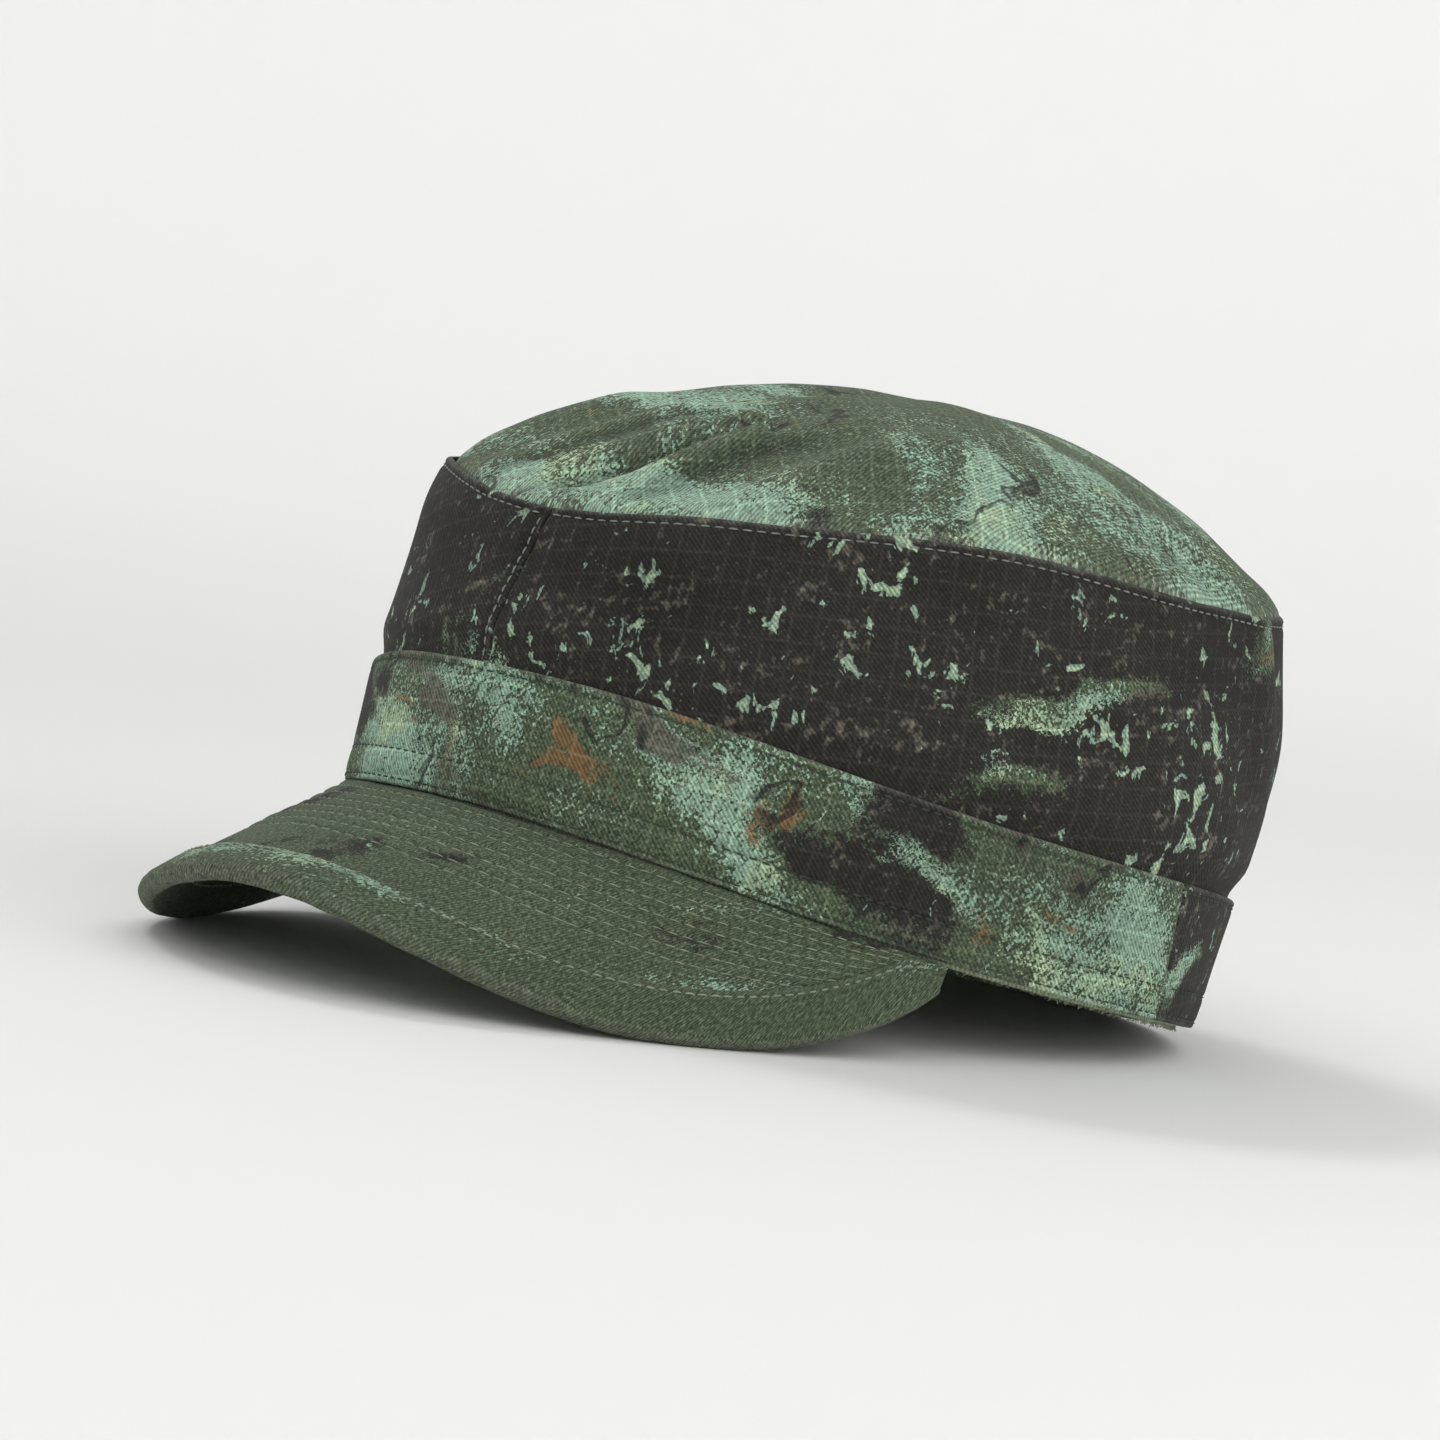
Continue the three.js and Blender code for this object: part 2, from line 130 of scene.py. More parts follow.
# Ridges and hollows of the domed top, each along a line seen from above: x0, y0, x1, y1, width, height
TOP_FOLDS = (
    (-30, -86, -8, -56, 5, 2.0),
    (-8, -57, 3, -26, 7, 1.6),
    (-8, -82, 3, -56, 7, -3.0),
    (7, -90, 14, -60, 5, 2.2),
    (21, -84, 26, -52, 7, -1.8),
    (33, -80, 39, -34, 6, 1.6),
    (-46, -66, -34, -50, 9, 2.8),
    (-54, -60, -60, -40, 13, 1.8),
    (66, 16, 80, 28, 5, 2.2),
    (58, 34, 74, 46, 8, -2.4),
    (10, 70, 18, 92, 9, -1.8),
    (-62, 30, -76, 44, 8, -2.0),
)

# Sharp creases that the cloth of the top adds to its folds: x0, y0, x1, y1, width, height
TOP_CREASES = (
    (-34, -80, -12, -50, 3.0, 1.8),
    (-28, -83, -6, -53, 3.2, -1.5),
    (-18, -86, 2, -48, 3.0, 2.0),
    (-11, -84, 8, -50, 3.4, -1.7),
    (4, -88, 12, -58, 2.8, 1.8),
    (12, -86, 20, -54, 3.4, -1.4),
    (28, -84, 34, -50, 3.2, 1.3),
    (-50, -62, -40, -36, 3.4, 0.8),
    (64, 10, 78, 26, 2.6, 0.9),
    (70, 4, 82, 14, 3.0, -0.8),
)


# Surfaces of the crown

def bell(distance, width):
    return np.exp(-((distance / width) ** 2))


def turn(angle, start):
    """Signed difference of two angles, from -180 to 180."""
    return (angle - start + 180) % 360 - 180


def mix(a, b, share):
    return a + (b - a) * share


def smoothstep(value, low, high):
    share = np.clip((value - low) / (high - low), 0, 1)
    return share * share * (3 - 2 * share)


def stacked(*parts):
    return np.stack(np.broadcast_arrays(*parts), axis=-1)


def unit(vectors):
    return vectors / np.maximum(np.linalg.norm(vectors, axis=-1, keepdims=True), 1e-9)


def ruffle(x, y, seed, around=64):
    """Smooth random heights from -1 to 1, one for each unit square; x repeats after around squares."""
    heights = np.random.default_rng(seed).uniform(-1, 1, (64, 64))
    x, y = np.broadcast_arrays(x, y)
    left = np.floor(x).astype(int)
    foot = np.floor(y).astype(int)
    across = smoothstep(x - left, 0, 1)
    up = smoothstep(y - foot, 0, 1)
    here, there = left % around % 64, (left + 1) % around % 64
    low = mix(heights[here, foot % 64], heights[there, foot % 64], across)
    high = mix(heights[here, (foot + 1) % 64], heights[there, (foot + 1) % 64], across)
    return mix(low, high, up)


def ruffles(angle, height, *rows):
    """Ruffles round the cap. Each row gives a depth, the squares once round, a square's height and a seed."""
    return sum(
        depth * ruffle(angle / 360 * count, height / tall, seed, count) for depth, count, tall, seed in rows
    )


def oval(angle, half_length, half_width, narrowing, set_back):
    a = np.radians(angle)
    return half_width * np.sin(a) * (1 - narrowing * np.cos(a)), set_back - half_length * np.cos(a)


def rim_lift(angle):
    return RIM_LIFT * bell(turn(angle, RIM_LIFT_ANGLE), RIM_LIFT_WIDTH)


def rim_height(angle):
    a = np.radians(angle)
    waves = RIM_LENGTHWISE * np.cos(a) + RIM_CROSSWISE * np.cos(2 * a) + RIM_THREEFOLD * np.cos(3 * a)
    return waves + rim_lift(angle)


def seam_height(angle):
    a = np.radians(angle)
    height = SEAM_HEIGHT - SEAM_RISE * np.cos(a) - SEAM_CREST * np.cos(3 * a)
    for middle, width, lift in SEAM_WAVES:
        height = height + lift * bell(turn(angle, middle), width)
    return height


def band_height(angle):
    return BAND_HEIGHT - BAND_DIP * bell(turn(angle, 0), BAND_DIP_WIDTH) - rim_lift(angle)


def crown_point(angle, level):
    """The band's outer face carried up to the top seam, level 0 at the rim and 1 at the seam."""
    foot_x, foot_y = oval(angle, CROWN_LENGTH, CROWN_WIDTH, FRONT_NARROWING, 0)
    head_x, head_y = oval(angle, TOP_LENGTH, TOP_WIDTH, TOP_NARROWING, TOP_SET_BACK)
    x = mix(foot_x, head_x, level)
    y = mix(foot_y, head_y, level)
    push = SIDE_BULGE * np.sin(np.pi * level)
    for middle, slant, width, deepest, spread, height in SIDE_FOLDS:
        crest = middle + slant * (1 - level) * 2
        push = push + height * bell(turn(angle, crest), width) * bell(level - deepest, spread)
    reach = 1 + push / np.hypot(x, y)
    return stacked(x * reach, y * reach, mix(rim_height(angle), seam_height(angle), level))


def normal_of(surface, u, v, du, dv):
    along = surface(u + du, v) - surface(u - du, v)
    up = surface(u, v + dv) - surface(u, v - dv)
    return unit(np.cross(along, up))


def crown_normal(angle, level):
    return normal_of(crown_point, angle, level, 0.5, 0.01)


def layer_point(angle, level, depth):
    """A point set in from the crown's outer face by depth, square to it."""
    return crown_point(angle, level) - crown_normal(angle, level) * np.asarray(depth)[..., None]


def panel_height(angle):
    return seam_height(angle) - rim_height(angle)


AROUND_MM = 586.0  # length once round the crown, by which angles become lengths of cloth


def along_crown(angle):
    return angle / 360 * AROUND_MM


def rounded(distance, radius):
    """Depth of a folded edge below its face, at a distance from the edge."""
    short = np.clip(radius - distance, 0, radius)
    return radius - np.sqrt(radius**2 - short**2)


def pressed(distance, depth=0.3, width=0.6):
    """The groove that a row of stitches presses into the cloth."""
    return depth * bell(distance, width)


# Cloth relief: what sewing and handling press into each piece, as a depth in millimetres

SIDE_TOPSTITCH = 1.9  # distance of the stitches below the top seam
FOLD_RADIUS = 1.1
SEAM_RADIUS = 0.7


def panel_swell(angle, height):
    """How much deeper a side panel lies where the band covers it."""
    return PANEL_DEPTH * (1 - smoothstep(height - band_height(angle), PANEL_CLEAR, PUFF))


def side_edge(angle, height, end_distance):
    below = panel_height(angle) - height
    return np.maximum(rounded(below, FOLD_RADIUS), rounded(end_distance, SEAM_RADIUS))


def side_depth(angle, height, end_distance):
    below = panel_height(angle) - height
    above_band = height - band_height(angle)
    waves = ruffles(angle, height, (0.55, 15, 24, 3), (0.28, 36, 13, 4))
    gathers = ruffles(angle, height, (0.42, 62, 22, 5)) * np.exp(-below / 8)
    gathers = gathers + ruffles(angle, height, (0.34, 52, 18, 6)) * np.exp(-np.abs(above_band) / 7)
    seam_pull = 0.4 * bell(end_distance, 4.0) * (1 + 0.8 * ruffle(height / 3.2, 0, 7))
    relief = (waves + gathers + seam_pull) * smoothstep(above_band, -2, 6)
    groove = pressed(below - SIDE_TOPSTITCH, 0.32, 0.7)
    return panel_swell(angle, height) + relief + groove + side_edge(angle, height, end_distance)


def side_surface(angle, height, end_distance):
    return layer_point(angle, height / panel_height(angle), side_depth(angle, height, end_distance))


def fold_height(x, y, folds):
    height = 0
    for x0, y0, x1, y1, width, rise in folds:
        dx, dy = x1 - x0, y1 - y0
        along = np.clip(((x - x0) * dx + (y - y0) * dy) / (dx * dx + dy * dy), 0, 1)
        height = height + rise * bell(np.hypot(x - x0 - along * dx, y - y0 - along * dy), width)
    return height


def top_surface(angle, share, below=0.0):
    """The domed top: share 0 is its middle and share 1 its edge, inside the side panels' upper edge."""
    edge = layer_point(angle, np.ones_like(angle), np.full_like(angle, PANEL + GAP))
    middle = np.array([0, TOP_SET_BACK + DOME_SET_BACK, SEAM_HEIGHT])
    point = mix(middle, edge, share[..., None])
    x, y = point[..., 0], point[..., 1]
    fold = fold_height(x, y, TOP_FOLDS + TOP_CREASES)
    from_edge = (1 - share) * np.linalg.norm(edge[..., :2] - middle[:2], axis=-1)
    ripple = 0.5 * ruffle(x / 24 + 9, y / 24 + 9, 11) + 0.22 * ruffle(x / 10 + 9, y / 10 + 9, 12)
    gathers = ruffles(angle, from_edge, (0.5, 60, 30, 13)) * np.exp(-from_edge / 9)
    pillow = 1.1 * bell(from_edge - 3.5, 4)  # the cloth stands up beside the seam
    z = DOME_RISE * (1 - share**DOME_FULLNESS) + fold * (1 - share**10)
    point[..., 2] += z + ripple + gathers + pillow - rounded(from_edge, FOLD_RADIUS) - below
    return point


BAND_UPPER_STITCH = 1.7  # distance of the stitches below the band's upper edge
BAND_LOWER_STITCH = 7.0  # and above its lower edge
BAND_EDGE_STITCH = 1.3
BAND_FOLD_RADIUS = 1.0
BAND_END_RADIUS = 0.8


def band_edge(angle, height, end_distance):
    below = band_height(angle) - height
    folds = np.maximum(rounded(below, BAND_FOLD_RADIUS), rounded(height, BAND_FOLD_RADIUS))
    return np.maximum(folds, rounded(end_distance, BAND_END_RADIUS))


def band_depth(angle, height, end_distance):
    below = band_height(angle) - height
    waves = ruffles(angle, height, (0.3, 17, 16, 21))
    gathers = ruffles(angle, height, (0.34, 63, 9, 22)) * bell(height - 3.5, 5)
    gathers = gathers + ruffles(angle, height, (0.16, 63, 9, 23)) * bell(below - 1.5, 3.5)
    puckers = 0.6 + 0.6 * ruffle(angle / 9, 0, 24)
    over_visor = -1.2 * bell(height - 4, 3.4) * bell(turn(angle, -4), 30) * puckers
    groove = pressed(below - BAND_UPPER_STITCH) + pressed(height - BAND_LOWER_STITCH)
    groove = groove + pressed(height - BAND_EDGE_STITCH, 0.25)
    return waves + gathers + over_visor + groove + band_edge(angle, height, end_distance)


def band_surface(angle, height, end_distance):
    return layer_point(angle, height / panel_height(angle), band_depth(angle, height, end_distance))


# Surfaces of the visor

def visor_length(angle):
    share = np.abs(angle) / HALF_SPREAD
    return VISOR_LENGTH * np.maximum(1 - share**2, 0.02) ** VISOR_ROUNDING


def visor_point(angle, reach):
    share = np.abs(angle) / HALF_SPREAD
    slope = np.radians(MIDDLE_SLOPE + SIDE_SLOPE * share**2 + CORNER_SLOPE * share**4)
    heading = np.radians(VISOR_FAN * angle)
    run = reach * visor_length(angle)
    x = run * np.cos(slope) * np.sin(heading)
    y = -run * np.cos(slope) * np.cos(heading)
    z = 4 * VISOR_BOW * reach * (1 - reach) - run * np.sin(slope)
    z = z - ROOT_DROP - 1.2 * rim_lift(angle) * reach
    for middle, width, drop in VISOR_DROOPS:
        z = z - drop * bell(angle - middle, width) * reach**3
    return crown_point(angle, np.zeros_like(reach)) + stacked(x, y, z)


def visor_normal(angle, reach):
    return normal_of(visor_point, angle, reach, 0.5, -0.01)


VISOR_ROWS = 7
FIRST_ROW = 0.055
ROW_PITCH = 0.084
VISOR_ROW_REACH = FIRST_ROW + ROW_PITCH * np.arange(VISOR_ROWS)


def visor_depth(angle, reach):
    length = visor_length(angle)
    inner = smoothstep(reach, VISOR_ROW_REACH[-1] + 0.05, VISOR_ROW_REACH[-1])
    depth = -0.12 * inner
    for row in VISOR_ROW_REACH:
        depth = depth + pressed((reach - row) * length, 0.42, 0.8)
    depth = depth + 0.1 * inner * ruffle(angle / 1.6, reach * 16, 31)
    depth = depth + 0.16 * ruffle(angle / 7 + 16, reach * 5, 32)
    return depth


def visor_surface(angle, reach, inset=0.0):
    depth = visor_depth(angle, reach) + inset
    return visor_point(angle, reach) - visor_normal(angle, reach) * depth[..., None]


# Meshes

CLOTH_MAP = "cloth"  # place on the flat cloth, in millimetres


def at_rest(points):
    """Points of the cap's own frame tilted on to the table and turned into metres of the row frame."""
    placed = points @ TILT.T + REST_SHIFT
    placed[..., 2] = np.maximum(placed[..., 2], 0)
    return placed * MM


def put(name, data):
    """A new object in the scene."""
    made = bpy.data.objects.new(name, data)
    bpy.context.scene.collection.objects.link(made)
    return made


def sew(name, points, faces, places, place_faces, material, wear_and_painted_shading=None, node=None):
    """A piece of the cap: its mesh, its place on the flat cloth, its material and what it stands for."""
    mesh = bpy.data.meshes.new(name)
    mesh.from_pydata(at_rest(points).tolist(), [], [list(face) for face in faces])
    layer = mesh.uv_layers.new(name=CLOTH_MAP)
    corners = np.concatenate([np.asarray(face) for face in place_faces])
    layer.uv.foreach_set("vector", places[corners].astype(np.float32).ravel())
    mesh.polygons.foreach_set("use_smooth", np.ones(len(faces), bool))
    # The attribute holds scuffing on edges above 0, painted shade in hollows below 0, and on the top painted
    # highlights along crests.
    if wear_and_painted_shading is not None:
        attribute = mesh.attributes.new("wear_and_painted_shading", "FLOAT", "POINT")
        attribute.data.foreach_set("value", wear_and_painted_shading.astype(np.float32).ravel())
    mesh.materials.append(material)
    mesh.update()
    piece = put(name, mesh)
    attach(piece, "root")
    if node:
        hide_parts(node)
    return piece


def quads(*sets):
    """Faces from sets of four arrays, one for each corner."""
    return np.concatenate([np.stack([corner.ravel() for corner in corners], axis=1) for corners in sets])


def wall_faces(columns, rows, stations, ring, turned):
    """Faces of a closed wall between two sheets, each with so many stations along it."""
    def at(side, column, row):
        return (side * stations + column % stations) * rows + row

    column, row = np.meshgrid(np.arange(columns), np.arange(rows - 1), indexing="ij")
    nxt, up = column + 1, row + 1
    c = np.arange(columns)
    last = rows - 1
    sets = [
        [at(0, column, row), at(0, nxt, row), at(0, nxt, up), at(0, column, up)],
        [at(1, column, row), at(1, column, up), at(1, nxt, up), at(1, nxt, row)],
        [at(1, c, 0), at(1, c + 1, 0), at(0, c + 1, 0), at(0, c, 0)],
        [at(0, c, last), at(0, c + 1, last), at(1, c + 1, last), at(1, c, last)],
    ]
    if not ring:
        r = np.arange(rows - 1)
        sets.append([at(1, 0, r), at(0, 0, r), at(0, 0, r + 1), at(1, 0, r + 1)])
        sets.append([at(0, columns, r), at(1, columns, r), at(1, columns, r + 1), at(0, columns, r + 1)])
    faces = quads(*sets)
    return faces[:, ::-1] if turned else faces


def sew_wall(name, outside, inside, places, material, wear_and_painted_shading, slot, node, ring=False, turned=False):
    """A closed wall of cloth. places, and the scuffing and painted shade of each point, have a value for each
    column and row of a sheet.
    """
    columns = places.shape[0] - 1
    rows = places.shape[1]
    stations = columns if ring else columns + 1
    points = np.concatenate([sheet[:stations].reshape(-1, 3) for sheet in (outside, inside)])
    faces = wall_faces(columns, rows, stations, ring, turned)
    # The flat cloth keeps its last column apart from its first, so that the print does not run back
    flat = np.concatenate([places.reshape(-1, 2)] * 2)
    flat_faces = wall_faces(columns, rows, columns + 1, ring, turned)
    worn_and_shaded = np.concatenate([wear_and_painted_shading[:stations].ravel()] * 2)
    return sew(name, points, faces, flat, flat_faces, material, worn_and_shaded, node)


def spaced(low, high, step, *lines):
    """Even stations from low to high, closer together at each line."""
    beside = np.array([-1.2, -0.7, -0.35, 0, 0.35, 0.7, 1.2])
    even = np.linspace(low, high, max(2, round((high - low) / step) + 1))
    joined = np.unique(np.round(np.concatenate([even, *(line + beside for line in lines)]), 4))
    joined = joined[(joined >= low) & (joined <= high)]
    keep = np.concatenate([[True], np.diff(joined) > 0.12])
    keep[-1] = True
    return joined[keep]


# Stitches

def length_along(points):
    """Length travelled along a row of points, up to each point."""
    return np.concatenate([[0], np.cumsum(np.linalg.norm(np.diff(points, axis=0), axis=1))])


def sew_stitches(name, seams, material, length=2.1, pitch=2.7, thickness=0.42):
    """Thread laid stitch by stitch along seams, each a row of points and a row of outward normals."""
    across = np.linspace(-1, 1, 5)
    girth = np.array([0.4, 0.88, 1.0, 0.88, 0.4]) * thickness / 2
    lift = thickness * 0.3 * (1 - 2.2 * across**2)
    sides = np.arange(6) * np.pi / 3
    rings = []
    for points, normals in seams:
        travelled = length_along(points)
        count = int(travelled[-1] / pitch)
        centres = (np.arange(count) + 0.5) * pitch
        stations = centres[:, None] + across * length / 2
        place, normal = (
            np.stack([np.interp(stations, travelled, line) for line in row.T], axis=-1)
            for row in (points, normals)
        )
        normal = unit(normal)
        forward = unit(place[:, -1:] - place[:, :1])
        sideways = unit(np.cross(normal, forward))
        middle = place + normal * lift[:, None]
        spokes = sideways[:, :, None] * np.cos(sides)[:, None] + normal[:, :, None] * np.sin(sides)[:, None]
        rings.append(middle[:, :, None] + spokes * girth[:, None, None])
    verts = np.concatenate(rings)
    count, along, around = verts.shape[:3]
    index = np.arange(count * along * around).reshape(count, along, around)
    turned = np.roll(index, -1, axis=2)
    skin = np.stack([index[:, :-1], turned[:, :-1], turned[:, 1:], index[:, 1:]], axis=-1).reshape(-1, 4)
    faces = [*skin.tolist(), *index[:, 0, ::-1].tolist(), *index[:, -1].tolist()]
    points = verts.reshape(-1, 3)
    return sew(name, points, faces, points[:, ::2], faces, material)


# Shader groups

class Wiring:
    """Adds nodes to a tree and joins them."""

    def __init__(self, tree):
        self.tree = tree

    def join(self, source, target):
        if isinstance(source, bpy.types.NodeSocket):
            self.tree.links.new(source, target)
        else:
            target.default_value = source

    def feed(self, node, values):
        """Joins values, or the sockets of other nodes, to a node's inputs."""
        for name, value in values.items():
            self.join(value, node.inputs[name])

    def node(self, kind, values=None, **settings):
        made = self.tree.nodes.new(kind)
        for key, value in settings.items():
            setattr(made, key, value)
        self.feed(made, values or {})
        return made

    def math(self, operation, *values, kind="ShaderNodeMath"):
        return self.node(kind, dict(enumerate(values)), operation=operation).outputs[0]

    def times(self, a, b):
        return self.math("MULTIPLY", a, b)

    def plus(self, a, b):
        return self.math("ADD", a, b)

    def less(self, a, b):
        return self.math("SUBTRACT", a, b)

    def times_plus(self, a, b, c):
        return self.math("MULTIPLY_ADD", a, b, c)

    def vector(self, operation, *values):
        return self.math(operation, *values, kind="ShaderNodeVectorMath")

    def noise(self, place, size, detail=2.0, roughness=0.5, distortion=0.0):
        """Noise whose grains are about size millimetres across."""
        values = {"Vector": place, "Scale": 1 / size, "Detail": detail, "Roughness": roughness}
        return self.node("ShaderNodeTexNoise", {**values, "Distortion": distortion}).outputs["Fac"]

    def ramp(self, value, low, high):
        """0 below low and 1 above high, straight between."""
        values = {"Value": value, "From Min": low, "From Max": high}
        return self.node("ShaderNodeMapRange", values, clamp=True).outputs["Result"]

    def blend(self, share, a, b, mode="MIX"):
        made = self.node("ShaderNodeMix", data_type="RGBA", blend_type=mode)
        self.join(share, made.inputs["Factor"])
        for value, socket in zip((a, b), [socket for socket in made.inputs if socket.type == "RGBA"]):
            self.join(value, socket)
        return next(socket for socket in made.outputs if socket.type == "RGBA")

    def over(self, ground, colour, mask, strength):
        """A colour laid over the ground where the mask is 1."""
        return self.blend(self.times(mask, strength), ground, colour)

    def place_of(self, vector, shift=(0, 0, 0), angle=0.0, stretch=(1, 1, 1)):
        values = {
            "Vector": vector, "Location": shift, "Rotation": (0, 0, math.radians(angle)), "Scale": stretch,
        }
        return self.node("ShaderNodeMapping", values).outputs["Vector"]

    def bump(self, height, strength, depth):
        """The normal of a relief, whose depth is in millimetres."""
        values = {"Height": height, "Strength": strength, "Distance": depth * MM}
        return self.node("ShaderNodeBump", values).outputs[0]


def srgb(*levels):
    """A colour given as it looks on a screen, 0 to 255."""
    shares = [level / 255 for level in levels]
    linear = [c / 12.92 if c <= 0.04045 else ((c + 0.055) / 1.055) ** 2.4 for c in shares]
    return (*linear, 1.0)


MOSS = srgb(92, 106, 82)
DEEP_MOSS = srgb(66, 79, 61)
SAGE = srgb(132, 142, 120)
MINT = srgb(146, 176, 156)
PALE_LICHEN = srgb(176, 194, 156)
BARK = srgb(46, 45, 42)
ASH = srgb(132, 126, 112)
EARTH = srgb(88, 78, 68)
RUST = srgb(126, 98, 68)


def group(name, inputs, outputs):
    """A new node group with named sockets; returns its wiring, its input sockets and its output sockets."""
    tree = bpy.data.node_groups.new(name, "ShaderNodeTree")
    kinds = {"vector": "NodeSocketVector", "value": "NodeSocketFloat", "colour": "NodeSocketColor"}
    for sockets, in_out in ((inputs, "INPUT"), (outputs, "OUTPUT")):
        for socket, kind in sockets:
            tree.interface.new_socket(name=socket, in_out=in_out, socket_type=kinds[kind])
    wiring = Wiring(tree)
    return wiring, wiring.node("NodeGroupInput").outputs, wiring.node("NodeGroupOutput").inputs


def ripstop_weave():
    """Fine twill threads and thicker doubled ones in a square grid. Height is for bump, Shade for tint."""
    w, given, out = group(
        "ripstop weave",
        [("Place", "vector"), ("Thread", "value"), ("Grid", "value"), ("Grid strength", "value")],
        [("Height", "value"), ("Shade", "value")],
    )
    part = w.node("ShaderNodeSeparateXYZ", {0: given["Place"]})
    x, y = part.outputs["X"], part.outputs["Y"]
    turn_per_thread = w.math("DIVIDE", 2 * math.pi, given["Thread"])
    warp = w.math("SINE", w.times(x, turn_per_thread))
    weft = w.math("SINE", w.times(y, turn_per_thread))
    twill = w.math("SINE", w.times(w.plus(x, y), w.times(turn_per_thread, 0.5)))
    threads = w.times(w.plus(w.math("ABSOLUTE", warp), w.math("ABSOLUTE", weft)), 0.5)
    body = w.times_plus(twill, 0.3, threads)

    def grid_line(coordinate):
        share = w.math("FRACT", w.math("DIVIDE", coordinate, given["Grid"]))
        distance = w.times(w.math("ABSOLUTE", w.less(share, 0.5)), given["Grid"])
        return w.less(1.0, w.ramp(distance, 0.16, 0.46))

    def slub(shift, stretch):
        """Uneven thickness of the threads that run one way."""
        return w.noise(w.place_of(given["Place"], shift, 0, stretch), 0.6, 2, 0.6)

    lines = w.math("MAXIMUM", grid_line(x), grid_line(y))
    strong = w.times(lines, given["Grid strength"])
    slubs = w.plus(slub((0, 0, 0), (0.25, 1, 1)), slub((9, 4, 0), (1, 0.25, 1)))
    w.join(w.plus(w.times_plus(body, 0.5, w.times(slubs, 0.35)), strong), out["Height"])
    w.join(w.plus(w.times_plus(body, 0.34, w.times(slubs, 0.24)), w.times(strong, 0.25)), out["Shade"])
    return w.tree


def woodland_print():
    """Camouflage in layers: moss ground, stippled lichen, rust, earth, cracks and speckled dark bark."""
    w, given, out = group(
        "woodland print",
        [("Place", "vector"), ("Lichen", "value"), ("Bark", "value"), ("Rust", "value"), ("Fleck", "value")],
        [("Colour", "colour")],
    )
    place = given["Place"]
    # The print's outlines wander by as much as the size of this slow noise
    drift = 34
    slow = w.node("ShaderNodeTexNoise", {"Vector": place, "Scale": 1 / drift, "Detail": 3})
    wander = w.vector("SUBTRACT", slow.outputs["Color"], (0.5, 0.5, 0.5))
    warped = w.vector("ADD", place, w.vector("MULTIPLY", wander, (drift, drift, drift)))
    stipple = w.noise(place, 0.75, 1.5, 0.6)
    grain = w.noise(w.place_of(place, (3, 8, 0), 25, (1, 0.45, 1)), 1.5, 2, 0.6)
    dust = w.plus(w.times(stipple, 0.6), w.times(grain, 0.4))

    def patch(shift, angle, stretch, size, share, edge):
        """A mask of patches that fill about a share of the cloth, with an edge broken up by the stipple."""
        body = w.noise(w.place_of(warped, shift, angle, stretch), size, 3, 0.5)
        limit = w.times_plus(share, -0.32, 0.66)
        broken = w.times_plus(w.less(dust, 0.5), edge, body)
        return w.ramp(w.less(broken, limit), -0.008, 0.008)

    # Moss ground, clouded and peppered
    ground = w.blend(w.ramp(stipple, 0.4, 0.6), DEEP_MOSS, MOSS)
    ground = w.over(ground, DEEP_MOSS, w.ramp(w.noise(warped, 22, 2), 0.35, 0.65), 0.35)
    pepper = w.noise(w.place_of(place, (2, 6, 0), 40, (1, 0.6, 1)), 0.6, 2, 0.7)
    ground = w.over(ground, SAGE, w.ramp(pepper, 0.54, 0.62), 0.5)
    ground = w.over(ground, BARK, w.ramp(pepper, 0.46, 0.38), 0.55)

    # Pitted lichen, with earth and rust beside it
    lichen = patch((40, 12, 0), 32, (0.55, 1.3, 1), 34, given["Lichen"], 0.85)
    pits = w.ramp(w.noise(place, 0.95, 1.5, 0.7), 0.5, 0.6)
    lichen_colour = w.over(MINT, PALE_LICHEN, w.ramp(w.noise(warped, 17, 2), 0.52, 0.68), 0.7)
    lichen_colour = w.over(lichen_colour, MOSS, pits, 0.6)
    colour = w.blend(lichen, ground, lichen_colour)
    earth_share = w.times_plus(given["Rust"], 3.0, 0.08)
    colour = w.over(colour, EARTH, patch((7, 80, 0), -28, (0.5, 1.4, 1), 26, earth_share, 0.5), 0.8)
    colour = w.over(colour, RUST, patch((90, 30, 0), 20, (0.6, 1.5, 1), 19, given["Rust"], 0.45), 0.85)

    # Thin cracks, only where there is lichen
    crack = w.math("ABSOLUTE", w.less(w.noise(warped, 46, 4, 0.55), 0.5))
    cracks = w.less(1.0, w.ramp(crack, 0.004, 0.011))
    cracks = w.times(cracks, w.ramp(w.noise(place, 24, 1), 0.5, 0.56))
    cracks = w.times(cracks, w.ramp(given["Lichen"], 0.1, 0.3))
    colour = w.over(colour, BARK, cracks, 0.85)

    # Bark, nearly black, with ashen specks and pale flecks
    speck = w.noise(w.place_of(place, (5, 1, 0), 0, (1, 0.8, 1)), 1.9, 2, 0.6)
    cluster = w.less(w.noise(place, 9, 2), 0.5)
    soft = w.ramp(w.times_plus(cluster, 0.7, speck), 0.6, 0.8)
    bark_colour = w.over(BARK, ASH, soft, 0.6)
    bark_colour = w.over(bark_colour, ASH, w.ramp(dust, 0.5, 0.72), 0.12)
    fleck_body = w.noise(w.place_of(place, (0, 60, 0), 15, (1, 0.75, 1)), 4.4, 3, 0.62, 0.6)
    region = w.times_plus(w.noise(place, 26, 1), 0.5, -0.25)
    share = w.times_plus(given["Fleck"], 0.2, -0.2)
    fleck_level = w.plus(w.plus(fleck_body, region), share)
    core = w.ramp(w.plus(fleck_level, w.times_plus(stipple, 0.3, -0.15)), 0.63, 0.7)
    bark_colour = w.over(bark_colour, MINT, w.ramp(fleck_level, 0.6, 0.615), 0.7)
    bark_colour = w.over(bark_colour, PALE_LICHEN, core, 0.8)
    bark = patch((15, 55, 0), 50, (0.5, 1.2, 1), 38, given["Bark"], 0.3)
    w.join(w.blend(bark, colour, bark_colour), out["Colour"])
    return w.tree


MIDDLE_SHADE = 0.46  # the weave's usual shade, which leaves the colour as it is


